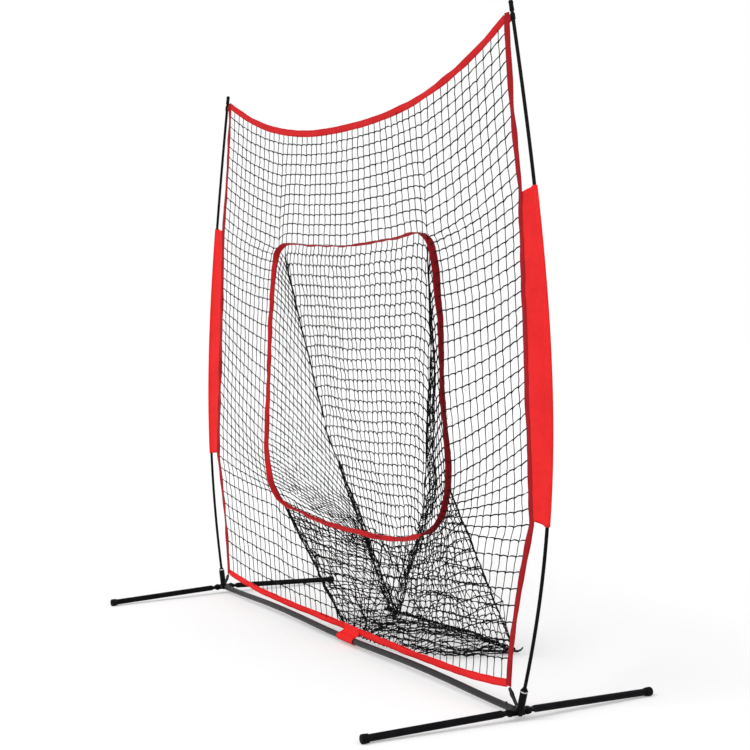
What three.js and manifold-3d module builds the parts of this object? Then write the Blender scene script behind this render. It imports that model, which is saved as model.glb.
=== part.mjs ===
// A pitching target net: a folding steel base, two bowed poles in sleeves, a net face with a
// strike-zone opening, and a netting pocket behind the opening that catches the ball.
// Millimetres, +Z up, X across the net, -Y towards the thrower, ground at Z = 0.

import * as THREE from 'three';
import { mergeVertices } from 'three/addons/utils/BufferGeometryUtils.js';
import Module from 'manifold-3d';

const wasm = await Module();
wasm.setup();

// ---------------------------------------------------------------- driving dimensions

// base
const HUB_HALF_SPAN = 1145;        // centre of the net to a leg hub
const BAR_AXIS_HEIGHT = 28;        // crossbar axis above the ground at the hubs
const BAR_ARCH = 8;                // how far each half of the crossbar bows up
const BAR_RADIUS = 11;
const BAR_WALL = 1.2;
const SPIGOT_CLEARANCE = 0.5;      // between a spigot and the tube that slides over it
const SPIGOT_WALL = 1.3;
const SPIGOT_REACH = 60;           // how far a spigot goes into its tube
const HUB_BLOCK_INNER = 24;        // hub centre to the crossbar's end
const HUB_BLOCK_OUTER = 18;
const HUB_BLOCK_HALF_WIDTH = 12;
const HUB_PLATE_RADIUS = 13;       // rounded end of a hub plate about a leg's pivot
const HUB_PLATE_THICKNESS = 3;

// legs
const PIVOT_OFFSET = 31;           // leg pivot in front of or behind the crossbar's axis
const LEG_LENGTH = 475;            // pivot to the middle of the foot cap
const LEG_OPEN_ANGLE = 87;         // degrees between an open leg and the crossbar
const LEG_RADIUS = 11;
const TONGUE_THICKNESS = 10;       // the leg tube is pressed flat at its pivot
const TONGUE_HALF_WIDTH = 12;
const TONGUE_LENGTH = 18;
const TONGUE_TAPER = 12;
const CAP_RADIUS = 14.5;
const CAP_LENGTH = 24;
const CAP_WALL = 5;                // rubber beyond the tube's end
const FOOT_FLAT = 0.5;             // depth of the worn flat under a foot cap
const PIVOT_BOLT_RADIUS = 4;
const BOLT_HEAD_RADIUS = 7;
const BOLT_HEAD_HEIGHT = 4.5;

// snap buttons
const BUTTON_RADIUS = 3.5;
const BUTTON_RISE = 4;             // how far a button stands out of the crossbar
const BUTTON_FLANGE_RADIUS = 4.6;
const BUTTON_FLANGE_THICKNESS = 1.5;
const HUB_BUTTON_INSET = 41;       // crossbar's end to its button
const CENTRE_BUTTON_INSET = 46;

// poles
const POLE_RADIUS = 5.5;
const POLE_TIP_HEIGHT = 2130;
const POLE_FOOT_OUTSET = 6;        // pole axis outside the hub's centre, at the crossbar's height
const POLE_TIP_OUTSET = 21;        // pole tip outside the net's top corner
const POLE_FOOT_LEAN = 19.6;       // degrees outwards at the socket
const POLE_TIP_LEAN = 14.4;        // degrees inwards at the tip
const POLE_FOOT_HANDLE = 681;      // length of the curve's handle at each end
const POLE_TIP_HANDLE = 1014;
const POLE_BACK_SLOPE = 0.0125;    // how far the poles and the net lean back, per unit of height
const FERRULE_LENGTH = 70;
const FERRULE_WALL = 1.0;
const SOCKET_RADIUS = 11.5;
const SOCKET_WALL = 1.6;
const SOCKET_LENGTH = 64;
const SOCKET_FLOOR = 10;
const BUSHING_DEPTH = 22;
const BUSHING_NECK_RADIUS = 7.8;
const BUSHING_NECK_HEIGHT = 8;
const SOCKET_BOLT_RADIUS = 3;
const TIP_RADIUS = 8.5;
const TIP_LENGTH = 34;
const TIP_CAP_THICKNESS = 8;

// net face
const NET_TOP_HALF_WIDTH = 1064;
const NET_CORNER_DROP = 35;        // pole tip to the net's top corner
const NET_TOP_SAG = 209;
const NET_TOP_SAG_POWER = 2.45;
const NET_BOTTOM_INSET = 53;       // hub centre to the net's bottom corner
const NET_BOTTOM_CORNER_HEIGHT = 101;
const NET_BOTTOM_MIDDLE_HEIGHT = 61;
const NET_BOTTOM_POWER = 4;
const NET_BELLY = 20;              // how far the middle of the face is drawn back
const EDGE_CURVE_POWER = 1.47;     // hollow of the side edges above and below the sleeves
const TAPE_WIDTH = 26;
const TAPE_THICKNESS = 3;
const TAPE_CORNER_OVERRUN = 9;
const LOOP_FABRIC = 2;             // the loop that holds a top corner to its pole
const LOOP_OVERLAP = 4;            // sewn on to the side tape

// sleeves
const SLEEVE_TOP_HEIGHT = 1581;
const SLEEVE_BOTTOM_HEIGHT = 598;
const SLEEVE_TOP_WIDTH = 74;       // side tape's middle to the pole's axis
const SLEEVE_BOTTOM_WIDTH = 78;
const SLEEVE_BORE = 7.4;
const SLEEVE_FABRIC = 1.6;
const SLEEVE_WEB_THICKNESS = 3;

// strike-zone opening and its pocket
const OPENING_WIDTH = 1400;
const OPENING_HEIGHT = 1053;
const OPENING_SILL = 422;
const POCKET_FLOOR_HEIGHT = 12;
const POCKET_CORNER_INSET = 70;    // along the opening's top, from its corner to the back panel
const POCKET_FLOOR_FRONT = [[-345, 160], [-105, 75], [253, 100], [410, 215], [450, 375]];
const POCKET_SIDE_FEET = { left: [-325, 225], right: [437, 455] };
const POCKET_CREASE_FEET = { left: [-300, 376], right: [-230, 383] };
const POCKET_SIDE_STARTS = { left: 0.4, right: 1 };    // opening points above its bottom corners
const RIGHT_CREASE_PULL = [427, 120, 229];

// netting
const TWINE = 3.2;
const SIDE_COLUMNS = 4;
const CENTRE_COLUMNS = 9;
const ROWS_BELOW_OPENING = 3;
const ROWS_BESIDE_OPENING = 8;
const ROWS_ABOVE_OPENING = 4;
const POCKET_ROWS = 8;
const POCKET_BACK_COLUMNS = 5;
const POCKET_SIDE_COLUMNS = { left: 2, right: 3 };
const POCKET_FLOOR_COLUMNS = 6;
const POCKET_FRONT_ROWS = 3;
const POCKET_FLOOR_ROWS = 2;

// straps
const STRAP_WIDTH = 14;
const STRAP_THICKNESS = 2.5;
const BUCKLE_WIDTH = 18;
const BUCKLE_THICKNESS = 5;
const FLAP_MIDDLE = 27;
const FLAP_WIDTH = 124;
const FLAP_THICKNESS = 2;
const FLAP_SLACK = 1.2;            // between the flap and the crossbar that it wraps
const TAB_WIDTH = 12;

// fits
const GAP = 0.3;                   // between pieces that touch
const NET_GAP = 0.7;               // between a strand's end and the tape it is sewn to
const CREASE_GAP = 2.4;            // between twine ends that meet at an angle
const SIDES = 12;                  // facets round a tube

// ---------------------------------------------------------------- materials

const FINISH = {
  blackSteel: { color: 0x1d1d20, roughness: 0.42, metalness: 0.6 },
  zincSteel: { color: 0x9a9a9c, roughness: 0.35, metalness: 0.9 },
  rubber: { color: 0x121213, roughness: 0.85, metalness: 0.0 },
  plastic: { color: 0x161617, roughness: 0.55, metalness: 0.0 },
  fibreglass: { color: 0x111113, roughness: 0.35, metalness: 0.0 },
  redFabric: { color: 0xd92027, roughness: 0.75, metalness: 0.0 },
  darkRedTape: { color: 0xb01824, roughness: 0.7, metalness: 0.0 },
  blackTwine: { color: 0x141416, roughness: 0.8, metalness: 0.0 },
  blackWebbing: { color: 0x17171a, roughness: 0.8, metalness: 0.0 },
};

// ---------------------------------------------------------------- solids

const flat = (x, z) => new THREE.Vector2(x, z);
const point = (x, y, z) => new THREE.Vector3(x, y, z);
const mix = (a, b, share) => a + (b - a) * share;

/** A closed body from points and convex faces, with its faces turned outwards. */
function closedBody(points, faces) {
  const triangles = [];
  for (const face of faces) {
    for (let corner = 1; corner < face.length - 1; corner++) {
      triangles.push([face[0], face[corner], face[corner + 1]]);
    }
  }
  let volume = 0;
  for (const [a, b, c] of triangles) {
    volume += points[a].dot(points[b].clone().cross(points[c]));
  }
  if (volume < 0) {
    triangles.forEach((triangle) => triangle.reverse());
  }
  const geometry = new THREE.BufferGeometry();
  const coordinates = points.flatMap((vertex) => vertex.toArray());
  geometry.setAttribute('position', new THREE.Float32BufferAttribute(coordinates, 3));
  geometry.setIndex(triangles.flat());
  geometry.computeVertexNormals();
  return geometry;
}

/** Quads between neighbouring rings of points. */
function wallFaces(rings, firstIndex) {
  const count = rings[0].length;
  const faces = [];
  for (let ring = 0; ring < rings.length - 1; ring++) {
    for (let corner = 0; corner < count; corner++) {
      const here = firstIndex + ring * count;
      const next = (corner + 1) % count;
      faces.push([here + corner, here + next, here + count + next, here + count + corner]);
    }
  }
  return faces;
}

/** A solid skinned over rings of points, with flat ends. */
function loft(rings) {
  const count = rings[0].length;
  const last = (rings.length - 1) * count;
  const order = [...Array(count).keys()];
  const faces = wallFaces(rings, 0);
  faces.push([...order].reverse());
  faces.push(order.map((corner) => last + corner));
  return closedBody(rings.flat(), faces);
}

/** A tube skinned over outer rings, with a bore skinned over inner rings. */
function hollowLoft(outer, inner) {
  const count = outer[0].length;
  const innerStart = outer.length * count;
  const faces = wallFaces(outer, 0);
  faces.push(...wallFaces(inner, innerStart).map((face) => face.reverse()));
  for (let corner = 0; corner < count; corner++) {
    const next = (corner + 1) % count;
    const end = (outer.length - 1) * count;
    faces.push([next, corner, innerStart + corner, innerStart + next]);
    faces.push([end + corner, end + next, innerStart + end + next, innerStart + end + corner]);
  }
  return closedBody([...outer.flat(), ...inner.flat()], faces);
}

/** A turned solid about +Z from a profile of [radius, height] pairs. */
function turned(profile, sides = SIDES) {
  const geometry = new THREE.LatheGeometry(profile.map(([radius, height]) => flat(radius, height)), sides);
  return geometry.rotateX(Math.PI / 2);
}

/** A round bar about +Z between two heights. */
function roundBar(radius, bottom, top, sides = SIDES) {
  return turned([[0, bottom], [radius, bottom], [radius, top], [0, top]], sides);
}

/** A box between two corners. */
function block(low, high) {
  const size = high.clone().sub(low);
  const middle = high.clone().add(low).multiplyScalar(0.5);
  return new THREE.BoxGeometry(size.x, size.y, size.z).translate(middle.x, middle.y, middle.z);
}

/** A tube along a curve; with no inner radius it is a solid rod. */
function tubeAlong(curve, outerRadius, innerRadius, steps, sides = SIDES) {
  const section = new THREE.Shape();
  section.absarc(0, 0, outerRadius, 0, Math.PI * 2);
  if (innerRadius > 0) {
    const bore = new THREE.Path();
    bore.absarc(0, 0, innerRadius, 0, Math.PI * 2, true);
    section.holes.push(bore);
  }
  const settings = { steps, extrudePath: curve, bevelEnabled: false, curveSegments: sides / 2 };
  return new THREE.ExtrudeGeometry(section, settings);
}

/** A flat band along points; "across" gives the band's width direction at each point. */
function band(centres, across, width, thickness, closed = false) {
  const count = centres.length;
  const rings = centres.map((centre, index) => {
    const before = centres[closed ? (index + count - 1) % count : Math.max(index - 1, 0)];
    const after = centres[closed ? (index + 1) % count : Math.min(index + 1, count - 1)];
    const along = after.clone().sub(before).normalize();
    const side = across[index].clone().normalize();
    const normal = along.cross(side).normalize();
    const corner = (acrossSign, normalSign) => centre.clone()
      .addScaledVector(side, acrossSign * width / 2)
      .addScaledVector(normal, normalSign * thickness / 2);
    return [corner(-1, -1), corner(1, -1), corner(1, 1), corner(-1, 1)];
  });
  if (!closed) {
    return loft(rings);
  }
  return closedBody(rings.flat(), wallFaces([...rings, rings[0]], 0).map(
    (face) => face.map((index) => index % (count * 4)),
  ));
}

function toSolid(geometry) {
  const bare = geometry.clone();
  bare.deleteAttribute('normal');
  bare.deleteAttribute('uv');
  const merged = mergeVertices(bare);
  return new wasm.Manifold(new wasm.Mesh({
    numProp: 3,
    vertProperties: Float32Array.from(merged.attributes.position.array),
    triVerts: Uint32Array.from(merged.index.array),
  }));
}

function toGeometry(solid) {
  const mesh = solid.getMesh();
  const geometry = new THREE.BufferGeometry();
  geometry.setAttribute('position', new THREE.BufferAttribute(Float32Array.from(mesh.vertProperties), 3));
  geometry.setIndex(new THREE.BufferAttribute(Uint32Array.from(mesh.triVerts), 1));
  geometry.computeVertexNormals();
  return geometry;
}

function cut(geometry, ...tools) {
  return toGeometry(tools.reduce((solid, tool) => solid.subtract(toSolid(tool)), toSolid(geometry)));
}

function join(...geometries) {
  return toGeometry(geometries.slice(1).reduce((solid, more) => solid.add(toSolid(more)), toSolid(geometries[0])));
}

// ---------------------------------------------------------------- the scene graph

const net = new THREE.Group();

function piece(parent, name, geometry, finish) {
  const mesh = new THREE.Mesh(geometry, new THREE.MeshStandardMaterial(FINISH[finish]));
  mesh.name = name;
  parent.add(mesh);
  return mesh;
}

const sideName = (side) => (side > 0 ? 'right' : 'left');

// ---------------------------------------------------------------- crossbar and hubs

const BAR_BORE = BAR_RADIUS - BAR_WALL;
const SPIGOT_RADIUS = BAR_BORE - SPIGOT_CLEARANCE;
const SPIGOT_BORE = SPIGOT_RADIUS - SPIGOT_WALL;
const BAR_END = HUB_HALF_SPAN - HUB_BLOCK_INNER - GAP;

/** One half of the crossbar, from the middle of the net to its hub. */
class BarLine extends THREE.Curve {
  constructor(side) {
    super();
    this.side = side;
  }

  getPoint(share, target = new THREE.Vector3()) {
    const arch = BAR_ARCH * Math.sin(Math.PI * share) ** 2;
    const reach = mix(GAP / 2, BAR_END, share);
    return target.set(this.side * reach, 0, BAR_AXIS_HEIGHT + arch);
  }
}

/** A spring button: a flange inside the spigot's bore and a domed stem through both walls. */
function snapButton() {
  const flangeTop = Math.sqrt(SPIGOT_BORE ** 2 - BUTTON_FLANGE_RADIUS ** 2) - GAP;
  const crown = BAR_RADIUS + BUTTON_RISE;
  const shoulder = crown - 1.6;
  return turned([
    [0, flangeTop - BUTTON_FLANGE_THICKNESS],
    [BUTTON_FLANGE_RADIUS, flangeTop - BUTTON_FLANGE_THICKNESS],
    [BUTTON_FLANGE_RADIUS, flangeTop],
    [BUTTON_RADIUS, flangeTop],
    [BUTTON_RADIUS, shoulder],
    [BUTTON_RADIUS * 0.7, crown - 0.5],
    [0, crown],
  ]);
}

/** The hole that a snap button's stem passes through, from the tube's axis outwards. */
function buttonHole() {
  return roundBar(BUTTON_RADIUS + GAP, SPIGOT_BORE / 2, BAR_RADIUS + BUTTON_RISE);
}

function buildCrossbar() {
  const hubButtonReach = BAR_END - HUB_BUTTON_INSET;
  for (const side of [-1, 1]) {
    const tube = tubeAlong(new BarLine(side), BAR_RADIUS, BAR_BORE, 12);
    const holes = [buttonHole().translate(side * hubButtonReach, 0, BAR_AXIS_HEIGHT)];
    if (side < 0) {
      holes.push(buttonHole().rotateX(-Math.PI / 2).translate(-CENTRE_BUTTON_INSET, 0, BAR_AXIS_HEIGHT));
    }
    piece(net, `crossbar_${sideName(side)}`, cut(tube, ...holes), 'blackSteel');
    const button = piece(net, `hub_button_${sideName(side)}`, snapButton(), 'zincSteel');
    button.position.set(side * hubButtonReach, 0, BAR_AXIS_HEIGHT);
  }
  const spigot = roundBar(SPIGOT_RADIUS, -SPIGOT_REACH, SPIGOT_REACH).rotateY(Math.PI / 2);
  const bore = roundBar(SPIGOT_BORE, -SPIGOT_REACH - 1, SPIGOT_REACH + 1).rotateY(Math.PI / 2);
  const hole = buttonHole().rotateX(-Math.PI / 2).translate(-CENTRE_BUTTON_INSET, 0, 0);
  const coupler = piece(net, 'crossbar_coupler', cut(spigot, bore, hole), 'blackSteel');
  coupler.position.z = BAR_AXIS_HEIGHT;
  const button = piece(net, 'coupler_button', snapButton().rotateX(-Math.PI / 2), 'zincSteel');
  button.position.set(-CENTRE_BUTTON_INSET, 0, BAR_AXIS_HEIGHT);
}

const HUB_SLOT_HALF = TONGUE_THICKNESS / 2 + GAP;
const HUB_HALF_HEIGHT = HUB_SLOT_HALF + HUB_PLATE_THICKNESS;
const SOCKET_FOOT_HEIGHT = BAR_AXIS_HEIGHT + HUB_HALF_HEIGHT + GAP;

/** The plate's outline: a slot shape round both leg pivots, with their bolt holes. */
function hubPlate(bottom) {
  const outline = new THREE.Shape();
  outline.absarc(0, PIVOT_OFFSET, HUB_PLATE_RADIUS, 0, Math.PI);
  outline.absarc(0, -PIVOT_OFFSET, HUB_PLATE_RADIUS, Math.PI, Math.PI * 2);
  for (const offset of [-PIVOT_OFFSET, PIVOT_OFFSET]) {
    const hole = new THREE.Path();
    hole.absarc(0, offset, PIVOT_BOLT_RADIUS + GAP, 0, Math.PI * 2, true);
    outline.holes.push(hole);
  }
  const settings = { depth: HUB_PLATE_THICKNESS, bevelEnabled: false, curveSegments: SIDES / 2 };
  return new THREE.ExtrudeGeometry(outline, settings).translate(0, 0, bottom);
}

/** Two plates welded to a block, with the spigot that the crossbar slides over. */
function hubBracket() {
  const spigotEnd = -HUB_BLOCK_INNER - SPIGOT_REACH;
  const body = block(
    point(-HUB_BLOCK_INNER, -HUB_BLOCK_HALF_WIDTH, -HUB_HALF_HEIGHT),
    point(HUB_BLOCK_OUTER, HUB_BLOCK_HALF_WIDTH, HUB_HALF_HEIGHT),
  );
  const spigot = roundBar(SPIGOT_RADIUS, spigotEnd, -HUB_BLOCK_INNER + 1).rotateY(Math.PI / 2);
  const bore = roundBar(SPIGOT_BORE, spigotEnd - 1, -HUB_BLOCK_INNER).rotateY(Math.PI / 2);
  const boltHole = roundBar(SOCKET_BOLT_RADIUS + GAP, -2 * BAR_RADIUS, 2 * BAR_RADIUS);
  return cut(
    join(body, hubPlate(-HUB_HALF_HEIGHT), hubPlate(HUB_SLOT_HALF), spigot),
    bore,
    buttonHole().translate(-HUB_BLOCK_INNER - HUB_BUTTON_INSET - GAP, 0, 0),
    boltHole.translate(socketOutset(), 0, 0),
  );
}

/** A headed bolt or rivet through the hub: a foot below, a shank and a head or plain end above. */
function hubBolt(shankRadius, top, headRadius) {
  const seat = HUB_HALF_HEIGHT + GAP;
  const below = -seat - BOLT_HEAD_HEIGHT;
  const profile = [
    [0, below],
    [BOLT_HEAD_RADIUS * 0.75, below],
    [BOLT_HEAD_RADIUS, below + 1],
    [BOLT_HEAD_RADIUS, -seat],
    [shankRadius, -seat],
  ];
  if (headRadius > shankRadius) {
    profile.push([shankRadius, seat], [headRadius, seat], [headRadius, top - 1]);
    profile.push([headRadius * 0.75, top], [0, top]);
  } else {
    profile.push([shankRadius, top], [0, top]);
  }
  return turned(profile);
}

// ---------------------------------------------------------------- legs

const LEG_FALL = (BAR_AXIS_HEIGHT - CAP_RADIUS + FOOT_FLAT) / LEG_LENGTH;
const LEG_TUBE_END = LEG_LENGTH + CAP_LENGTH / 2 - CAP_WALL - 3 * GAP;

/** The leg's axis falls from the pivot to the foot, beyond the level tongue. */
const legDrop = (reach) => -LEG_FALL * Math.max(0, reach);

/** One section of a leg at a reach from its pivot, between a flat oblong and a circle. */
function legSection(reach, halfWidth, halfHeight, drop) {
  const ring = [];
  for (let corner = 0; corner < SIDES; corner++) {
    const angle = (corner + 0.5) * Math.PI * 2 / SIDES;
    const [across, up] = [Math.cos(angle), Math.sin(angle)];
    const squareness = halfHeight < LEG_RADIUS ? 0.35 : 1;
    const y = Math.sign(across) * Math.abs(across) ** squareness * halfWidth;
    const z = Math.sign(up) * Math.abs(up) ** squareness * halfHeight;
    ring.push(point(reach, y, z + drop));
  }
  return ring;
}

/** A leg along +X from its pivot: a flat tongue with a bolt hole, then the round tube. */
function leg() {
  const flatHalf = TONGUE_THICKNESS / 2;
  const taperEnd = TONGUE_LENGTH + TONGUE_TAPER;
  const tubeMiddle = LEG_TUBE_END / 2;
  const solid = loft([
    legSection(-TONGUE_HALF_WIDTH, TONGUE_HALF_WIDTH * 0.55, flatHalf, 0),
    legSection(-TONGUE_HALF_WIDTH * 0.6, TONGUE_HALF_WIDTH * 0.92, flatHalf, 0),
    legSection(0, TONGUE_HALF_WIDTH, flatHalf, 0),
    legSection(TONGUE_LENGTH, TONGUE_HALF_WIDTH, flatHalf, 0),
    legSection(taperEnd, LEG_RADIUS, LEG_RADIUS, legDrop(taperEnd)),
    legSection(tubeMiddle, LEG_RADIUS, LEG_RADIUS, legDrop(tubeMiddle)),
    legSection(LEG_TUBE_END, LEG_RADIUS, LEG_RADIUS, legDrop(LEG_TUBE_END)),
  ]);
  const boreStart = taperEnd + LEG_RADIUS;
  const bore = roundBar(LEG_RADIUS - BAR_WALL, 0, LEG_LENGTH)
    .rotateY(Math.PI / 2 + Math.atan(LEG_FALL))
    .translate(boreStart, 0, legDrop(boreStart));
  const boltHole = roundBar(PIVOT_BOLT_RADIUS + GAP, -TONGUE_THICKNESS, TONGUE_THICKNESS);
  return cut(solid, bore, boltHole);
}

/** A rubber cap over the leg's end, worn flat where it stands on the ground. */
function footCap() {
  const back = -CAP_LENGTH / 2;
  const front = CAP_LENGTH / 2;
  const bore = LEG_RADIUS + 2 * GAP;
  const cap = turned([
    [0, front - CAP_WALL],
    [bore, front - CAP_WALL],
    [bore, back],
    [CAP_RADIUS * 0.93, back],
    [CAP_RADIUS, back + 3],
    [CAP_RADIUS, front - 6],
    [CAP_RADIUS * 0.92, front - 2.2],
    [CAP_RADIUS * 0.66, front],
    [0, front],
  ], 16);
  cap.rotateY(Math.PI / 2 + Math.atan(LEG_FALL)).translate(LEG_LENGTH, 0, legDrop(LEG_LENGTH));
  const ground = block(
    point(0, -2 * CAP_RADIUS, -BAR_AXIS_HEIGHT - 2 * CAP_RADIUS),
    point(LEG_LENGTH * 2, 2 * CAP_RADIUS, -BAR_AXIS_HEIGHT),
  );
  return cut(cap, ground);
}

function buildHubsAndLegs() {
  const bracket = hubBracket();
  const legTube = leg();
  const cap = footCap();
  const pivotBolt = hubBolt(PIVOT_BOLT_RADIUS, HUB_HALF_HEIGHT + GAP + BOLT_HEAD_HEIGHT, BOLT_HEAD_RADIUS);
  const socketBolt = hubBolt(SOCKET_BOLT_RADIUS, HUB_HALF_HEIGHT + GAP + SOCKET_FLOOR / 2, 0);
  for (const side of [-1, 1]) {
    const hub = new THREE.Group();
    hub.position.set(side * HUB_HALF_SPAN, 0, BAR_AXIS_HEIGHT);
    hub.rotation.z = side > 0 ? 0 : Math.PI;
    net.add(hub);
    piece(hub, `hub_bracket_${sideName(side)}`, bracket, 'blackSteel');
    piece(hub, `socket_bolt_${sideName(side)}`, socketBolt, 'zincSteel').position.x = socketOutset();
    for (const localSide of [-1, 1]) {
      const place = `${localSide * side < 0 ? 'front' : 'rear'}_${sideName(side)}`;
      const joint = new THREE.Group();
      joint.position.y = localSide * PIVOT_OFFSET;
      hub.add(joint);
      piece(joint, `pivot_bolt_${place}`, pivotBolt, 'zincSteel');
      const swing = new THREE.Group();
      swing.rotation.z = localSide * THREE.MathUtils.degToRad(180 - LEG_OPEN_ANGLE);
      joint.add(swing);
      piece(swing, `leg_${place}`, legTube, 'blackSteel');
      piece(swing, `foot_cap_${place}`, cap, 'rubber');
    }
  }
}

// ---------------------------------------------------------------- poles and sockets

/** The whole bowed axis of one pole, from the crossbar's height to its tip. */
function poleAxis(side) {
  const footLean = THREE.MathUtils.degToRad(POLE_FOOT_LEAN);
  const tipLean = THREE.MathUtils.degToRad(POLE_TIP_LEAN);
  const footX = HUB_HALF_SPAN + POLE_FOOT_OUTSET;
  const tipX = NET_TOP_HALF_WIDTH + POLE_TIP_OUTSET;
  const outline = [
    [footX, BAR_AXIS_HEIGHT],
    [footX + POLE_FOOT_HANDLE * Math.sin(footLean), BAR_AXIS_HEIGHT + POLE_FOOT_HANDLE * Math.cos(footLean)],
    [tipX + POLE_TIP_HANDLE * Math.sin(tipLean), POLE_TIP_HEIGHT - POLE_TIP_HANDLE * Math.cos(tipLean)],
    [tipX, POLE_TIP_HEIGHT],
  ];
  const lifted = outline.map(([x, z]) => point(side * x, (z - BAR_AXIS_HEIGHT) * POLE_BACK_SLOPE, z));
  return new THREE.CubicBezierCurve3(...lifted);
}

const RIGHT_POLE = poleAxis(1);
const POLE_ARC = RIGHT_POLE.getLength();

/** Reach of the right pole's axis from the middle of the net, at a height. */
function poleReach(height) {
  let [low, high] = [0, 1];
  for (let step = 0; step < 40; step++) {
    const middle = (low + high) / 2;
    if (RIGHT_POLE.getPoint(middle).z < height) {
      low = middle;
    } else {
      high = middle;
    }
  }
  return RIGHT_POLE.getPoint(low).x;
}

/** A stretch of a pole's axis between two distances along it. */
class PoleStretch extends THREE.Curve {
  constructor(side, from, to) {
    super();
    this.axis = poleAxis(side);
    this.from = from / POLE_ARC;
    this.to = to / POLE_ARC;
  }

  getPoint(share, target = new THREE.Vector3()) {
    return target.copy(this.axis.getPointAt(mix(this.from, this.to, share)));
  }
}

/** How far outside the hub's centre the socket's foot stands. */
function socketOutset() {
  const share = SOCKET_MOUTH / POLE_ARC;
  const [mouth, direction] = [RIGHT_POLE.getPointAt(share), RIGHT_POLE.getTangentAt(share)];
  return mouth.x - (mouth.z - SOCKET_FOOT_HEIGHT) * direction.x / direction.z - HUB_HALF_SPAN;
}

/** Lays a solid that was made about +Z along the pole, at a distance along it. */
function alongPole(geometry, side, distance) {
  const axis = poleAxis(side);
  const share = Math.min(distance / POLE_ARC, 1);
  const direction = axis.getTangentAt(share);
  const turn = new THREE.Quaternion().setFromUnitVectors(point(0, 0, 1), direction);
  const place = axis.getPointAt(share);
  return geometry.applyQuaternion(turn).translate(place.x, place.y, place.z);
}

const SOCKET_START = HUB_HALF_HEIGHT + GAP;
const SOCKET_MOUTH = SOCKET_START + SOCKET_LENGTH;
const POLE_START = SOCKET_START + SOCKET_FLOOR + 1;
const POLE_SECTION = (POLE_ARC - POLE_START) / 3;

/** A steel tube that leans with the pole and stands on the hub, with a floor and a bolt hole. */
function poleSocket(side) {
  const tube = roundBar(SOCKET_RADIUS, -SOCKET_LENGTH - SOCKET_RADIUS, 0);
  const hollow = roundBar(SOCKET_RADIUS - SOCKET_WALL, SOCKET_FLOOR - SOCKET_LENGTH, 1);
  const outer = alongPole(tube, side, SOCKET_MOUTH);
  const bore = alongPole(hollow, side, SOCKET_MOUTH);
  const reach = side * (HUB_HALF_SPAN + socketOutset());
  const below = block(
    point(reach - 4 * SOCKET_RADIUS, -4 * SOCKET_RADIUS, 0),
    point(reach + 4 * SOCKET_RADIUS, 4 * SOCKET_RADIUS, SOCKET_FOOT_HEIGHT),
  );
  const boltTop = SOCKET_FOOT_HEIGHT + SOCKET_FLOOR / 2 + GAP;
  const boltHole = roundBar(SOCKET_BOLT_RADIUS + GAP, 0, boltTop).translate(reach, 0, 0);
  return cut(outer, bore, below, boltHole);
}

/** The plastic bushing that centres the pole in its socket. */
function socketBushing() {
  const outer = SOCKET_RADIUS - SOCKET_WALL - GAP;
  const inner = POLE_RADIUS + 2 * GAP;
  return turned([
    [inner, -BUSHING_DEPTH],
    [outer, -BUSHING_DEPTH],
    [outer, GAP],
    [SOCKET_RADIUS - 1, GAP],
    [SOCKET_RADIUS - 1, 2],
    [BUSHING_NECK_RADIUS, 3],
    [BUSHING_NECK_RADIUS, BUSHING_NECK_HEIGHT],
    [inner, BUSHING_NECK_HEIGHT],
    [inner, -BUSHING_DEPTH],
  ]);
}

/** The cap on the pole's end, with a waist below its round head. */
function poleTip() {
  const bore = POLE_RADIUS + GAP;
  const bottom = -TIP_LENGTH + TIP_CAP_THICKNESS;
  return turned([
    [0, GAP],
    [bore, GAP],
    [bore, bottom],
    [TIP_RADIUS, bottom],
    [TIP_RADIUS, bottom + 3],
    [TIP_RADIUS - 1.4, bottom + 6],
    [TIP_RADIUS - 1.4, -2],
    [TIP_RADIUS, 1],
    [TIP_RADIUS * 0.8, TIP_CAP_THICKNESS - 2],
    [TIP_RADIUS * 0.4, TIP_CAP_THICKNESS],
    [0, TIP_CAP_THICKNESS],
  ]);
}

function buildPoles() {
  const ferruleBore = POLE_RADIUS + GAP;
  for (const side of [-1, 1]) {
    ['lower', 'middle', 'upper'].forEach((section, index) => {
      const start = POLE_START + index * POLE_SECTION + (index > 0 ? GAP : 0);
      const stretch = new PoleStretch(side, start, POLE_START + (index + 1) * POLE_SECTION);
      piece(net, `pole_${section}_${sideName(side)}`, tubeAlong(stretch, POLE_RADIUS, 0, 10), 'fibreglass');
    });
    ['lower', 'upper'].forEach((joint, index) => {
      const middle = POLE_START + (index + 1) * POLE_SECTION;
      const stretch = new PoleStretch(side, middle - FERRULE_LENGTH / 2, middle + FERRULE_LENGTH / 2);
      const ferrule = tubeAlong(stretch, ferruleBore + FERRULE_WALL, ferruleBore, 2);
      piece(net, `pole_ferrule_${joint}_${sideName(side)}`, ferrule, 'zincSteel');
    });
    piece(net, `pole_socket_${sideName(side)}`, poleSocket(side), 'blackSteel');
    const bushing = alongPole(socketBushing(), side, SOCKET_MOUTH);
    piece(net, `socket_bushing_${sideName(side)}`, bushing, 'plastic');
    piece(net, `pole_tip_${sideName(side)}`, alongPole(poleTip(), side, POLE_ARC), 'rubber');
  }
}

// ---------------------------------------------------------------- outline of the net face

const NET_TOP_HEIGHT = POLE_TIP_HEIGHT - NET_CORNER_DROP;
const NET_BOTTOM_HALF_WIDTH = HUB_HALF_SPAN - NET_BOTTOM_INSET;
const EDGE_AT_SLEEVE_TOP = poleReach(SLEEVE_TOP_HEIGHT) - SLEEVE_TOP_WIDTH;
const EDGE_AT_SLEEVE_BOTTOM = poleReach(SLEEVE_BOTTOM_HEIGHT) - SLEEVE_BOTTOM_WIDTH;
const TAPE_EDGE = TAPE_WIDTH / 2 + GAP;

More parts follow.
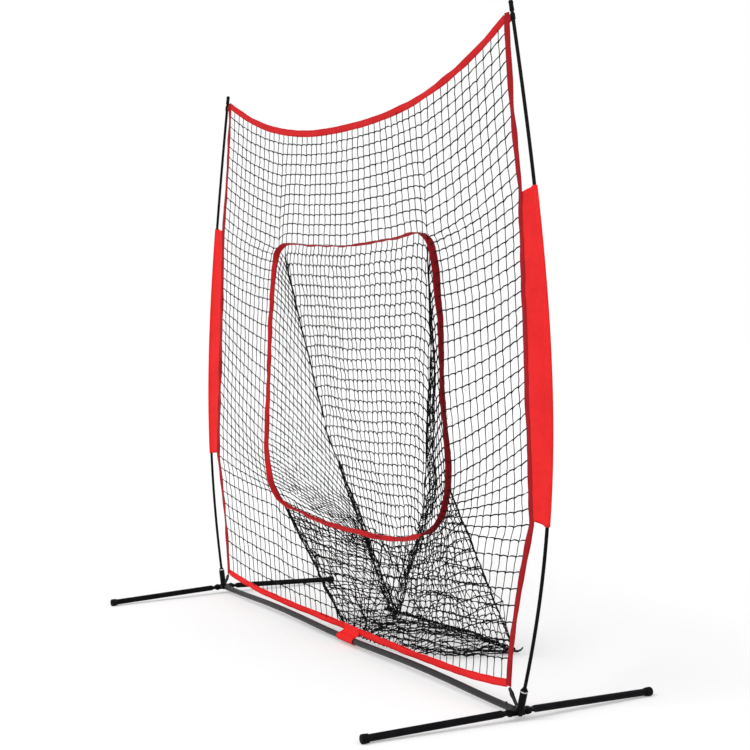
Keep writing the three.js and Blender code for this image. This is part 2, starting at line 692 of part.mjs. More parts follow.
/** Middle of the side tape, from the middle of the net, at a height. */
function sideEdge(height) {
  if (height > SLEEVE_TOP_HEIGHT) {
    const share = Math.max(0, (NET_TOP_HEIGHT - height) / (NET_TOP_HEIGHT - SLEEVE_TOP_HEIGHT));
    return mix(NET_TOP_HALF_WIDTH, EDGE_AT_SLEEVE_TOP, share ** EDGE_CURVE_POWER);
  }
  if (height < SLEEVE_BOTTOM_HEIGHT) {
    const rise = height - NET_BOTTOM_CORNER_HEIGHT;
    const share = Math.max(0, rise / (SLEEVE_BOTTOM_HEIGHT - NET_BOTTOM_CORNER_HEIGHT));
    return mix(NET_BOTTOM_HALF_WIDTH, EDGE_AT_SLEEVE_BOTTOM, share ** EDGE_CURVE_POWER);
  }
  const share = (height - SLEEVE_BOTTOM_HEIGHT) / (SLEEVE_TOP_HEIGHT - SLEEVE_BOTTOM_HEIGHT);
  return mix(EDGE_AT_SLEEVE_BOTTOM, EDGE_AT_SLEEVE_TOP, share);
}

/** Middle of the top tape: it sags between the poles. */
function topEdge(x) {
  const share = Math.min(1, Math.abs(x) / NET_TOP_HALF_WIDTH);
  return NET_TOP_HEIGHT - NET_TOP_SAG * (1 - share ** NET_TOP_SAG_POWER);
}

/** Middle of the bottom tape: it dips to the crossbar between its raised corners. */
function bottomEdge(x) {
  const share = Math.min(1, Math.abs(x) / NET_BOTTOM_HALF_WIDTH);
  return mix(NET_BOTTOM_MIDDLE_HEIGHT, NET_BOTTOM_CORNER_HEIGHT, share ** NET_BOTTOM_POWER);
}

/** Lifts a point of the face's outline on to the face, which leans back and bellies out. */
function onFace(spot) {
  const share = Math.min(1, Math.abs(spot.x) / sideEdge(spot.y));
  const depth = (spot.y - BAR_AXIS_HEIGHT) * POLE_BACK_SLOPE + NET_BELLY * (1 - share ** 2);
  return point(spot.x, depth, spot.y);
}

/** Slope of an edge height function at a place. */
const slopeOf = (edge, x) => (edge(x + 1) - edge(x - 1)) / 2;

/** An edge's height moved square to the edge by an offset. */
const besideEdge = (edge, x, offset) => edge(x) + offset * Math.hypot(1, slopeOf(edge, x));

// The opening's outline as shares of its half width and of its height, clockwise from its
// top left corner. The right side hangs fuller than the left, and the sill and lintel sag.
const OPENING_SHAPE = [
  [-0.85, 1.004], [-0.45, 0.998], [-0.03, 0.983], [0.43, 0.987], [0.818, 0.993],
  [0.922, 0.8], [0.968, 0.5], [1.016, 0.205], [0.9, 0.087], [0.6, 0.022],
  [0, 0], [-0.5, 0.012], [-0.905, 0.062], [-1.022, 0.2], [-1.0, 0.47], [-0.952, 0.8],
];
const TOP_LEFT = 0;
const TOP_RIGHT = 4;
const BOTTOM_RIGHT = 8;
const BOTTOM_LEFT = 12;

const openingCurve = new THREE.CatmullRomCurve3(
  OPENING_SHAPE.map(([across, up]) => point(across * OPENING_WIDTH / 2, OPENING_SILL + up * OPENING_HEIGHT, 0)),
  true,
  'centripetal',
);

// The outline as short straight lines, five to each of its points, with the way out at each.
const OPENING_STEPS = OPENING_SHAPE.length * 5;
const openingCentres = Array.from({ length: OPENING_STEPS }, (_, step) => {
  const spot = openingCurve.getPoint(step / OPENING_STEPS);
  return flat(spot.x, spot.y);
});
const openingNormals = openingCentres.map((_, step) => {
  const before = openingCentres[(step + OPENING_STEPS - 1) % OPENING_STEPS];
  const along = openingCentres[(step + 1) % OPENING_STEPS].clone().sub(before).normalize();
  return flat(-along.y, along.x);
});

/** A spot on the opening's outline, counted in outline points and moved outwards by an offset. */
function openingSpot(station, offset = 0) {
  const steps = ((station * 5) % OPENING_STEPS + OPENING_STEPS) % OPENING_STEPS;
  const low = Math.floor(steps) % OPENING_STEPS;
  const high = (low + 1) % OPENING_STEPS;
  const from = openingCentres[low].clone().addScaledVector(openingNormals[low], offset);
  const to = openingCentres[high].clone().addScaledVector(openingNormals[high], offset);
  return from.lerp(to, steps - Math.floor(steps));
}

// ---------------------------------------------------------------- tapes and sleeves

/** Middle line and width directions of a tape that lies in the face. */
function faceLine(spots, closed = false) {
  const centres = spots.map(onFace);
  const count = centres.length;
  const across = centres.map((centre, index) => {
    const before = centres[closed ? (index + count - 1) % count : Math.max(index - 1, 0)];
    const after = centres[closed ? (index + 1) % count : Math.min(index + 1, count - 1)];
    return after.clone().sub(before).normalize().cross(point(0, 1, 0)).normalize();
  });
  return { centres, across };
}

function faceTape(spots, closed = false) {
  const line = faceLine(spots, closed);
  return band(line.centres, line.across, TAPE_WIDTH, TAPE_THICKNESS, closed);
}

/** Reach of a top or bottom tape's end, square-cut clear of the side tape. */
function tapeEndReach(edge, halfWidth) {
  const slope = Math.atan(Math.abs(slopeOf(edge, halfWidth - TAPE_WIDTH)));
  return halfWidth - TAPE_EDGE - Math.sin(slope) * TAPE_WIDTH / 2;
}

function spread(count, from, to, make) {
  return Array.from({ length: count + 1 }, (_, index) => make(mix(from, to, index / count)));
}

/** The side tape, with a loop at its top corner that slips over the pole. */
function sideTape(side) {
  const low = NET_BOTTOM_CORNER_HEIGHT - TAPE_CORNER_OVERRUN;
  const high = NET_TOP_HEIGHT + TAPE_CORNER_OVERRUN;
  const tape = faceTape(spread(34, low, high, (height) => flat(side * sideEdge(height), height)));
  const loopDistance = POLE_ARC - NET_CORNER_DROP - TAPE_CORNER_OVERRUN;
  const loopInner = POLE_RADIUS + GAP;
  const loop = turned([
    [loopInner, -TAPE_WIDTH / 2],
    [loopInner + LOOP_FABRIC, -TAPE_WIDTH / 2],
    [loopInner + LOOP_FABRIC, TAPE_WIDTH / 2],
    [loopInner, TAPE_WIDTH / 2],
    [loopInner, -TAPE_WIDTH / 2],
  ]);
  const poleSpot = poleAxis(side).getPointAt(loopDistance / POLE_ARC);
  const tapeReach = Math.abs(poleSpot.x) - sideEdge(poleSpot.z) - TAPE_WIDTH / 2 + LOOP_OVERLAP;
  const [near, far] = [-side * (loopInner + LOOP_FABRIC / 2), -side * tapeReach];
  const bridge = block(
    point(Math.min(near, far), -TAPE_THICKNESS / 2, -TAPE_WIDTH / 3),
    point(Math.max(near, far), TAPE_THICKNESS / 2, TAPE_WIDTH / 3),
  );
  return join(tape, alongPole(bridge, side, loopDistance), alongPole(loop, side, loopDistance));
}

/** Red fabric sewn to the side tape, with a tunnel for the pole along its outer edge. */
function sleeve(side) {
  const sections = 16;
  const outerRings = [];
  const innerRings = [];
  const stations = spread(11, SLEEVE_BOTTOM_HEIGHT, SLEEVE_TOP_HEIGHT, (height) => height);
  for (const height of stations) {
    const centre = poleReach(height);
    const depth = (height - BAR_AXIS_HEIGHT) * POLE_BACK_SLOPE;
    const webEnd = sideEdge(height) + TAPE_EDGE - centre;
    const outer = [];
    const inner = [];
    for (let corner = 0; corner < sections; corner++) {
      const angle = (corner + 0.5) * Math.PI * 2 / sections;
      const [across, back] = [Math.cos(angle), Math.sin(angle)];
      const radius = SLEEVE_BORE + SLEEVE_FABRIC;
      const onWeb = across < -Math.cos(Math.PI / sections * 1.5);
      const reach = onWeb ? webEnd : across * radius;
      const lift = onWeb ? Math.sign(back) * SLEEVE_WEB_THICKNESS / 2 : back * radius;
      outer.push(point(side * (centre + reach), depth + lift, height));
      inner.push(point(side * (centre + across * SLEEVE_BORE), depth + back * SLEEVE_BORE, height));
    }
    outerRings.push(outer);
    innerRings.push(inner);
  }
  return hollowLoft(outerRings, innerRings);
}

function buildTapes() {
  const topReach = tapeEndReach(topEdge, NET_TOP_HALF_WIDTH);
  const bottomReach = tapeEndReach(bottomEdge, NET_BOTTOM_HALF_WIDTH);
  piece(net, 'tape_top', faceTape(spread(32, -topReach, topReach, (x) => flat(x, topEdge(x)))), 'redFabric');
  const bottomTape = faceTape(spread(20, -bottomReach, bottomReach, (x) => flat(x, bottomEdge(x))));
  piece(net, 'tape_bottom', bottomTape, 'redFabric');
  piece(net, 'tape_opening', faceTape(openingCentres, true), 'darkRedTape');
  for (const side of [-1, 1]) {
    piece(net, `tape_side_${sideName(side)}`, sideTape(side), 'darkRedTape');
    piece(net, `sleeve_${sideName(side)}`, sleeve(side), 'redFabric');
  }
}

// ---------------------------------------------------------------- netting

/**
 * Square twine woven over a surface. Each inner crossing is a small block of eight points, and
 * each strand joins two crossings, or runs from a crossing to the panel's edge. "stops" gives
 * how far the strands stop short of the edges at the low and high ends of each direction.
 */
function netting(surface, columns, rows, stops) {
  const points = [];
  const faces = [];
  const half = TWINE / 2;
  const step = 0.004;

  function frameAt(u, v) {
    const alongU = surface(Math.min(1, u + step), v).sub(surface(Math.max(0, u - step), v)).normalize();
    const alongV = surface(u, Math.min(1, v + step)).sub(surface(u, Math.max(0, v - step))).normalize();
    const normal = alongU.clone().cross(alongV).normalize();
    return { alongU, alongV, normal };
  }

  function corners(centre, first, second) {
    const spots = [];
    for (const [a, b] of [[-1, -1], [1, -1], [1, 1], [-1, 1]]) {
      points.push(centre.clone().addScaledVector(first, a * half).addScaledVector(second, b * half));
      spots.push(points.length - 1);
    }
    return spots;
  }

  const crossings = new Map();
  const key = (i, j) => `${i},${j}`;
  for (let i = 1; i < columns; i++) {
    for (let j = 1; j < rows; j++) {
      const [u, v] = [i / columns, j / rows];
      const { alongU, alongV, normal } = frameAt(u, v);
      const centre = surface(u, v);
      const front = corners(centre.clone().addScaledVector(normal, -half), alongU, alongV);
      const back = corners(centre.clone().addScaledVector(normal, half), alongU, alongV);
      faces.push([...front].reverse(), back);
      crossings.set(key(i, j), { centre, front, back, frame: { alongU, alongV, normal } });
    }
  }

  // the four points of a crossing's side, in the order front low, front high, back high, back low
  const sidePoints = (crossing, low, high) => [
    crossing.front[low], crossing.front[high], crossing.back[high], crossing.back[low],
  ];

  function strand(from, to) {
    for (let corner = 0; corner < 4; corner++) {
      const next = (corner + 1) % 4;
      faces.push([from[corner], from[next], to[next], to[corner]]);
    }
  }

  function looseEnd(i, j, stop, crossing, alongRow) {
    const [u, v] = [i / columns, j / rows];
    const edge = surface(u, v);
    const inwards = crossing.centre.clone().sub(edge).normalize();
    const { alongU, alongV, normal } = frameAt(u, v);
    const width = alongRow ? alongV : alongU;
    const centre = edge.addScaledVector(inwards, stop);
    const ring = [];
    for (const [a, b] of [[-1, -1], [1, -1], [1, 1], [-1, 1]]) {
      points.push(centre.clone().addScaledVector(width, a * half).addScaledVector(normal, b * half));
      ring.push(points.length - 1);
    }
    return ring;
  }

  for (let j = 1; j < rows; j++) {
    for (let i = 0; i < columns; i++) {
      const left = crossings.get(key(i, j));
      const right = crossings.get(key(i + 1, j));
      const from = left ? sidePoints(left, 1, 2) : looseEnd(i, j, stops.uLow, right, true);
      const to = right ? sidePoints(right, 0, 3) : looseEnd(i + 1, j, stops.uHigh, left, true);
      strand(from, to);
      if (!left) {
        faces.push([...from].reverse());
      }
      if (!right) {
        faces.push(to);
      }
    }
  }
  for (let i = 1; i < columns; i++) {
    for (let j = 0; j < rows; j++) {
      const below = crossings.get(key(i, j));
      const above = crossings.get(key(i, j + 1));
      const from = below ? sidePoints(below, 3, 2) : looseEnd(i, j, stops.vLow, above, false);
      const to = above ? sidePoints(above, 0, 1) : looseEnd(i, j + 1, stops.vHigh, below, false);
      strand([...from].reverse(), [...to].reverse());
      if (!below) {
        faces.push(from);
      }
      if (!above) {
        faces.push([...to].reverse());
      }
    }
  }
  return closedBody(points, faces);
}

/** A surface patch stretched between four edge curves that meet at their corners. */
function patch(bottom, top, left, right) {
  return (u, v) => {
    const spot = bottom(u).clone().multiplyScalar(1 - v).addScaledVector(top(u), v);
    spot.addScaledVector(left(v), 1 - u).addScaledVector(right(v), u);
    spot.addScaledVector(left(0), -(1 - u) * (1 - v)).addScaledVector(right(0), -u * (1 - v));
    spot.addScaledVector(left(1), -(1 - u) * v).addScaledVector(right(1), -u * v);
    return spot;
  };
}

const lineBetween = (from, to) => (share) => from.clone().lerp(to, share);

const FACE_ROWS = ROWS_BELOW_OPENING + ROWS_BESIDE_OPENING + ROWS_ABOVE_OPENING;
const SHARE_BELOW = ROWS_BELOW_OPENING / FACE_ROWS;
const SHARE_BESIDE = ROWS_BESIDE_OPENING / FACE_ROWS;
const SEAM_DRIFT = 50;             // how far the creases lean in, from the opening to the net's edges

/** The crease that runs from a corner of the opening to the net's top or bottom edge. */
function creaseSpot(cornerStation, edge, offset) {
  const corner = openingSpot(cornerStation, TAPE_EDGE);
  const reach = corner.x - Math.sign(corner.x) * SEAM_DRIFT;
  return { corner, end: flat(reach, besideEdge(edge, reach, offset)) };
}

const CREASES = {
  left: {
    top: creaseSpot(TOP_LEFT, topEdge, -TAPE_EDGE),
    bottom: creaseSpot(BOTTOM_LEFT, bottomEdge, TAPE_EDGE),
  },
  right: {
    top: creaseSpot(TOP_RIGHT, topEdge, -TAPE_EDGE),
    bottom: creaseSpot(BOTTOM_RIGHT, bottomEdge, TAPE_EDGE),
  },
};

/** Netting between the opening and one side tape, over the net's whole height. */
function sidePanel(side) {
  const crease = CREASES[sideName(side)];
  const [lowStation, highStation] = side > 0
    ? [BOTTOM_RIGHT, TOP_RIGHT]
    : [BOTTOM_LEFT, TOP_LEFT + OPENING_SHAPE.length];
  const inner = (v) => {
    if (v < SHARE_BELOW) {
      return lineBetween(crease.bottom.end, crease.bottom.corner)(v / SHARE_BELOW);
    }
    if (v > SHARE_BELOW + SHARE_BESIDE) {
      return lineBetween(crease.top.corner, crease.top.end)((v - SHARE_BELOW - SHARE_BESIDE) / (1 - SHARE_BELOW - SHARE_BESIDE));
    }
    return openingSpot(mix(lowStation, highStation, (v - SHARE_BELOW) / SHARE_BESIDE), TAPE_EDGE);
  };
  const lowReach = sideEdge(NET_BOTTOM_CORNER_HEIGHT + TAPE_WIDTH) - TAPE_EDGE;
  const highReach = sideEdge(NET_TOP_HEIGHT - TAPE_WIDTH) - TAPE_EDGE;
  const lowHeight = besideEdge(bottomEdge, lowReach, TAPE_EDGE);
  const highHeight = besideEdge(topEdge, highReach, -TAPE_EDGE);
  const outer = (v) => {
    const height = mix(lowHeight, highHeight, v);
    return flat(side * (sideEdge(height) - TAPE_EDGE), height);
  };
  const alongEdge = (edge, offset, end, reach) => (u) => {
    const x = mix(side * reach, end.x, u);
    return flat(x, besideEdge(edge, x, offset));
  };
  const bottom = alongEdge(bottomEdge, TAPE_EDGE, crease.bottom.end, Math.abs(outer(0).x));
  const top = alongEdge(topEdge, -TAPE_EDGE, crease.top.end, Math.abs(outer(1).x));
  const surface = patch(bottom, top, outer, inner);
  const stops = { uLow: NET_GAP, uHigh: NET_GAP, vLow: NET_GAP, vHigh: NET_GAP };
  return netting((u, v) => onFace(surface(u, v)), SIDE_COLUMNS, FACE_ROWS, stops);
}

/** Netting above the opening, or below it, between the two creases. */
function middlePanel(above) {
  const place = above ? 'top' : 'bottom';
  const [left, right] = [CREASES.left[place], CREASES.right[place]];
  const edge = above ? topEdge : bottomEdge;
  const offset = above ? -TAPE_EDGE : TAPE_EDGE;
  const tapeLine = (u) => {
    const x = mix(left.end.x, right.end.x, u);
    return flat(x, besideEdge(edge, x, offset));
  };
  const [from, to] = above ? [TOP_LEFT, TOP_RIGHT] : [BOTTOM_LEFT, BOTTOM_RIGHT];
  const openingLine = (u) => openingSpot(mix(from, to, u), TAPE_EDGE);
  const surface = above
    ? patch(openingLine, tapeLine, lineBetween(left.corner, left.end), lineBetween(right.corner, right.end))
    : patch(tapeLine, openingLine, lineBetween(left.end, left.corner), lineBetween(right.end, right.corner));
  const stops = { uLow: NET_GAP, uHigh: NET_GAP, vLow: NET_GAP, vHigh: NET_GAP };
  const rows = above ? ROWS_ABOVE_OPENING : ROWS_BELOW_OPENING;
  return netting((u, v) => onFace(surface(u, v)), CENTRE_COLUMNS, rows, stops);
}

// ---------------------------------------------------------------- pocket

/** A spot just inside the opening's tape, where the pocket's netting starts. */
const openingInside = (station) => onFace(openingSpot(station, -TAPE_EDGE));

const onPocketFloor = ([x, y]) => point(x, y, POCKET_FLOOR_HEIGHT);
const TOP_POINT_SPACING = OPENING_WIDTH / 2 * 0.43;
const CORNER_STATIONS = POCKET_CORNER_INSET / TOP_POINT_SPACING;
const SIDE_CORNER_STATIONS = 0.05;

const creaseTops = {
  left: openingInside(TOP_LEFT + CORNER_STATIONS),
  right: openingInside(TOP_RIGHT - CORNER_STATIONS),
};
const creaseFeet = {
  left: onPocketFloor(POCKET_CREASE_FEET.left),
  right: onPocketFloor(POCKET_CREASE_FEET.right),
};

/** The folds where the pocket's sides meet its back: the left one is taut, the right one hangs. */
const pocketCrease = {
  left: lineBetween(creaseFeet.left, creaseTops.left),
  right: (share) => new THREE.QuadraticBezierCurve3(
    creaseFeet.right,
    point(...RIGHT_CREASE_PULL),
    creaseTops.right,
  ).getPoint(share),
};

function pocketBack() {
  const top = (u) => openingInside(mix(TOP_LEFT + CORNER_STATIONS, TOP_RIGHT - CORNER_STATIONS, u));
  const surface = patch(lineBetween(creaseFeet.left, creaseFeet.right), top, pocketCrease.left, pocketCrease.right);
  const stops = { uLow: CREASE_GAP, uHigh: CREASE_GAP, vLow: CREASE_GAP, vHigh: NET_GAP };
  return netting(surface, POCKET_BACK_COLUMNS, POCKET_ROWS, stops);
}

/** A side of the pocket: from the opening's side and its ground corner to the fold. */
function pocketSide(side) {
  const name = sideName(side);
  const direction = side > 0 ? 1 : -1;
  const topCorner = side > 0 ? TOP_RIGHT : TOP_LEFT;
  const bottomCorner = side > 0 ? BOTTOM_RIGHT : BOTTOM_LEFT - OPENING_SHAPE.length;
  const groundCorner = onPocketFloor(POCKET_SIDE_FEET[name]);
  const lowShare = 0.36;
  const ringStart = bottomCorner - direction * POCKET_SIDE_STARTS[name];
  const ringEnd = topCorner - direction * SIDE_CORNER_STATIONS;
  const front = (v) => (v < lowShare
    ? lineBetween(groundCorner, openingInside(ringStart))(v / lowShare)
    : openingInside(mix(ringStart, ringEnd, (v - lowShare) / (1 - lowShare))));
  const top = (u) => openingInside(mix(ringEnd, topCorner - direction * CORNER_STATIONS, u));
  const surface = patch(lineBetween(groundCorner, creaseFeet[name]), top, front, pocketCrease[name]);
  const stops = { uLow: CREASE_GAP, uHigh: CREASE_GAP, vLow: CREASE_GAP + TWINE, vHigh: NET_GAP };
  return netting(surface, POCKET_SIDE_COLUMNS[name], POCKET_ROWS, stops);
}

const groundFront = new THREE.CatmullRomCurve3(POCKET_FLOOR_FRONT.map(onPocketFloor), false, 'centripetal');
const hemCorners = [
  onPocketFloor(POCKET_SIDE_FEET.left),
  creaseFeet.left,
  creaseFeet.right,
  onPocketFloor(POCKET_SIDE_FEET.right),
];
const groundBack = new THREE.CurvePath();
hemCorners.slice(1).forEach((end, index) => groundBack.add(new THREE.LineCurve3(hemCorners[index], end)));

/** The pocket's low front, which drops from behind the sill to the ground. */
function pocketFront() {
  const behindTape = TAPE_THICKNESS / 2 + TWINE / 2 + GAP;
  const surface = (u, v) => {
    const rightEnd = BOTTOM_RIGHT - POCKET_SIDE_STARTS.right + 0.3;
    const sill = onFace(openingSpot(mix(BOTTOM_LEFT - 0.1, rightEnd, u)));
    sill.y += behindTape;
    return groundFront.getPoint(u).lerp(sill, v);
  };
  const stops = { uLow: CREASE_GAP, uHigh: CREASE_GAP, vLow: CREASE_GAP, vHigh: 0 };
  return netting(surface, POCKET_FLOOR_COLUMNS, POCKET_FRONT_ROWS, stops);
}

/** The pocket's floor, which lies on the ground. */
function pocketFloor() {
  const surface = (u, v) => groundFront.getPoint(u).lerp(groundBack.getPoint(u), v);
  const stops = { uLow: CREASE_GAP, uHigh: CREASE_GAP, vLow: CREASE_GAP, vHigh: CREASE_GAP };
  return netting(surface, POCKET_FLOOR_COLUMNS, POCKET_FLOOR_ROWS, stops);
}

function buildNetting() {
  piece(net, 'net_top', middlePanel(true), 'blackTwine');
  piece(net, 'net_bottom', middlePanel(false), 'blackTwine');
  for (const side of [-1, 1]) {
    piece(net, `net_side_${sideName(side)}`, sidePanel(side), 'blackTwine');
    piece(net, `pocket_side_${sideName(side)}`, pocketSide(side), 'blackTwine');
  }
  piece(net, 'pocket_back', pocketBack(), 'blackTwine');
  piece(net, 'pocket_front', pocketFront(), 'blackTwine');
  piece(net, 'pocket_floor', pocketFloor(), 'blackTwine');
}

// ---------------------------------------------------------------- straps

/** The webbing and buckle that tie the net's bottom corner to the foot of the pole's socket. */
function cornerStrap(side) {
  const start = point(NET_BOTTOM_HALF_WIDTH + 2, 0, NET_BOTTOM_CORNER_HEIGHT - TAPE_CORNER_OVERRUN - 5.75);
  const footRadius = SOCKET_RADIUS / Math.cos(THREE.MathUtils.degToRad(POLE_FOOT_LEAN));
  const end = point(HUB_HALF_SPAN + socketOutset() - footRadius - STRAP_WIDTH / 2, 0, SOCKET_FOOT_HEIGHT + STRAP_WIDTH / 2);
  for (const spot of [start, end]) {
    spot.y = (spot.z - BAR_AXIS_HEIGHT) * POLE_BACK_SLOPE;
    spot.x *= side;
  }
  const along = end.clone().sub(start).normalize();
  const across = along.clone().cross(point(0, 1, 0));
  const strap = band([start, end], [across, across], STRAP_WIDTH, STRAP_THICKNESS);
  const buckleEnds = [0.22, 0.5].map((share) => start.clone().lerp(end, share));
  return join(strap, band(buckleEnds, [across, across], BUCKLE_WIDTH, BUCKLE_THICKNESS));
}

/** The fabric flap that hangs from the bottom tape and wraps round the crossbar. */
function crossbarFlap() {
  const wrap = BAR_RADIUS + FLAP_SLACK + FLAP_THICKNESS / 2;
  const tape = onFace(flat(FLAP_MIDDLE, bottomEdge(FLAP_MIDDLE)));
  const front = tape.y - TAPE_THICKNESS / 2 - GAP - FLAP_THICKNESS / 2;
  const path = [
    point(FLAP_MIDDLE, front, tape.z + TAPE_WIDTH * 0.45),
    point(FLAP_MIDDLE, front, tape.z - TAPE_WIDTH * 0.45),
  ];
  for (let angle = 80; angle <= 390; angle += 31) {
    const turn = THREE.MathUtils.degToRad(angle);
    path.push(point(FLAP_MIDDLE, wrap * Math.cos(turn), BAR_AXIS_HEIGHT + FLAP_LIFT + wrap * Math.sin(turn)));
  }
  return band(path, path.map(() => point(1, 0, 0)), FLAP_WIDTH, FLAP_THICKNESS);
}

const FLAP_LIFT = BAR_ARCH * Math.sin(Math.PI * (FLAP_MIDDLE / BAR_END)) ** 2;

/** The webbing tab at the end of the floor's middle strand. */
function pocketTab() {
  const seat = onPocketFloor(POCKET_FLOOR_FRONT.at(-1)).lerp(onPocketFloor(POCKET_SIDE_FEET.right), 0.5);
  seat.x -= CREASE_GAP - 3 * GAP;
  const bends = [[0, 0, 0], [7, 6, 1], [18, 34, 8], [24, 60, 4], [16, 84, 13], [2, 97, 11]];
  const path = bends.map(([x, y, z]) => point(seat.x + x, seat.y + y, seat.z + z));
  const across = bends.map((_, index) => point(index < 2 ? 0 : 0.9, index < 2 ? 1 : -0.4, 0));
  return band(path, across, TAB_WIDTH, STRAP_THICKNESS);
}

function buildStraps() {
  for (const side of [-1, 1]) {
    piece(net, `corner_strap_${sideName(side)}`, cornerStrap(side), 'blackWebbing');
  }
  piece(net, 'crossbar_flap', crossbarFlap(), 'redFabric');
  piece(net, 'pocket_tab', pocketTab(), 'blackWebbing');
}

buildCrossbar();
buildHubsAndLegs();
buildPoles();
buildTapes();
buildNetting();
buildStraps();

export default net;
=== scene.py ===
"""The looks of a pitching target net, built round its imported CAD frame.

Each sub-assembly is a class that holds its sizes, in metres, and builds and dresses its own
pieces: the folding steel base, the bowed poles, the red sleeves and tapes, the knotted net face,
and the netting pocket that hangs behind the strike-zone opening.
"""

import logging
import math
from bisect import bisect_left
from collections.abc import Callable, Iterable, Sequence
from dataclasses import dataclass, replace
from enum import Enum
from functools import cache

import bmesh
import bpy
from mathutils import Matrix, Vector, noise


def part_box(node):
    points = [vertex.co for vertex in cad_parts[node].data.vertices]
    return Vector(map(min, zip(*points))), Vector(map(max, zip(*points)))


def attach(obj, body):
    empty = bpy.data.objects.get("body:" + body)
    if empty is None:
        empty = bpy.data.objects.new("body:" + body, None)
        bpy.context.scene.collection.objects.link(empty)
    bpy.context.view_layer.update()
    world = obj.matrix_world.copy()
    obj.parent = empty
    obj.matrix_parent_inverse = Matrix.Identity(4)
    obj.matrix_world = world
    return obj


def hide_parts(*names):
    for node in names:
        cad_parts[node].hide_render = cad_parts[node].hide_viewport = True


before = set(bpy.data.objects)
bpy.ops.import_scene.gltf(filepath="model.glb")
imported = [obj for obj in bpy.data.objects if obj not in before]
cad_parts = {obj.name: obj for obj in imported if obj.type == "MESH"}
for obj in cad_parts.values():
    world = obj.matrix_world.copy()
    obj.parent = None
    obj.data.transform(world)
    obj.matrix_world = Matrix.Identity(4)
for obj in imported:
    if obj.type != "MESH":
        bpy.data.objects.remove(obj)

LOG = logging.getLogger("net")
SEED = 7  # without one, noise_vector differs from run to run
BODY = "frame"
BACKWARDS, UPWARDS = Vector((0, 1, 0)), Vector((0, 0, 1))
ROUND = 2 * math.pi  # a full turn
NEAR = 0.001  # how close to an edge of a netting panel counts as on it
STITCHED = (-0.0095, 0.0095)  # the seams along both edges of a tape

Spot = tuple[float, float]
Colour = tuple[float, float, float]
Surface = Callable[[float, float], Vector]
Test = Callable[[float, float], bool]
Line = Callable[[float], Vector]
BMesh, BMVert, BMEdge = bmesh.types.BMesh, bmesh.types.BMVert, bmesh.types.BMEdge


class Named(Enum):
    """An option whose name takes part in piece names."""

    @property
    def word(self) -> str:
        """The option's name in piece names."""
        return self.name.lower()


class Side(Named):
    """The two ends of the net, as the thrower's left and right."""

    LEFT = -1
    RIGHT = 1

    def at(self, reach: float, y: float, z: float) -> Vector:
        """A place on this side, at a reach from the middle."""
        return Vector((self.value * reach, y, z))


class Place(Named):
    """Where a leg stands: before the net or behind it."""

    FRONT = -1
    REAR = 1


def mix(low: float, high: float, share: float) -> float:
    """A value between two others."""
    return low + (high - low) * share


def held(value: float, low: float = 0.0, high: float = 1.0) -> float:
    """A value kept within limits."""
    return min(high, max(low, value))


def eased(share: float) -> float:
    """A share that starts and ends softly."""
    return share * share * (3 - 2 * share)


def spread(count: int, low: float = 0.0, high: float = 1.0) -> list[float]:
    """Evenly spaced values from low to high, both included."""
    return [mix(low, high, index / count) for index in range(count + 1)]


def mm(*spots: Spot) -> list[Spot]:
    """Spots that are given in millimetres."""
    return [(x / 1000, y / 1000) for x, y in spots]


def located(keys: Sequence[float], value: float) -> tuple[int, float]:
    """Which key a value comes before, and its share of the way there from the key before."""
    index = next((k for k in range(1, len(keys) - 1) if value < keys[k]), len(keys) - 1)
    return index, (value - keys[index - 1]) / (keys[index] - keys[index - 1])


# ---------------------------------------------------------------------------- shader building


class Value:
    """A shader socket that Python's operators work on."""

    def __init__(self, graph: "Graph", socket: bpy.types.NodeSocket) -> None:
        """Wraps an output socket of a graph."""
        self.graph, self.socket = graph, socket

    def _math(self, operation: str, *values: "Value | float") -> "Value":
        """A Math node on some values."""
        return self.graph.node("ShaderNodeMath", {"operation": operation}, dict(enumerate(values)))

    def __add__(self, other: "Value | float") -> "Value":
        """Sum."""
        return self._math("ADD", self, other)

    __radd__ = __add__

    def __sub__(self, other: "Value | float") -> "Value":
        """Difference."""
        return self._math("SUBTRACT", self, other)

    def __rsub__(self, other: float) -> "Value":
        """Difference from a number."""
        return self._math("SUBTRACT", other, self)

    def __mul__(self, other: "Value | float") -> "Value":
        """Product."""
        return self._math("MULTIPLY", self, other)

    __rmul__ = __mul__

    def __truediv__(self, other: "Value | float") -> "Value":
        """Quotient."""
        return self._math("DIVIDE", self, other)

    def __gt__(self, other: "Value | float") -> "Value":
        """1 where this is greater, and 0 elsewhere."""
        return self._math("GREATER_THAN", self, other)

    def wave(self) -> "Value":
        """Sine of the value, moved into 0 to 1."""
        return self._math("SINE", self) * 0.5 + 0.5

    def size(self) -> "Value":
        """Absolute value."""
        return self._math("ABSOLUTE", self)

    def repeat(self, length: float) -> "Value":
        """The value's place within repeats of a length, from 0 to 1."""
        return self._math("FRACT", self / length)

    def band(self, low: float, high: float) -> "Value":
        """The value's range from low to high stretched over 0 to 1, and held there."""
        settings = {"clamp": True, "interpolation_type": "SMOOTHSTEP"}
        inputs = {"Value": self, "From Min": low, "From Max": high}
        return self.graph.node("ShaderNodeMapRange", settings, inputs)


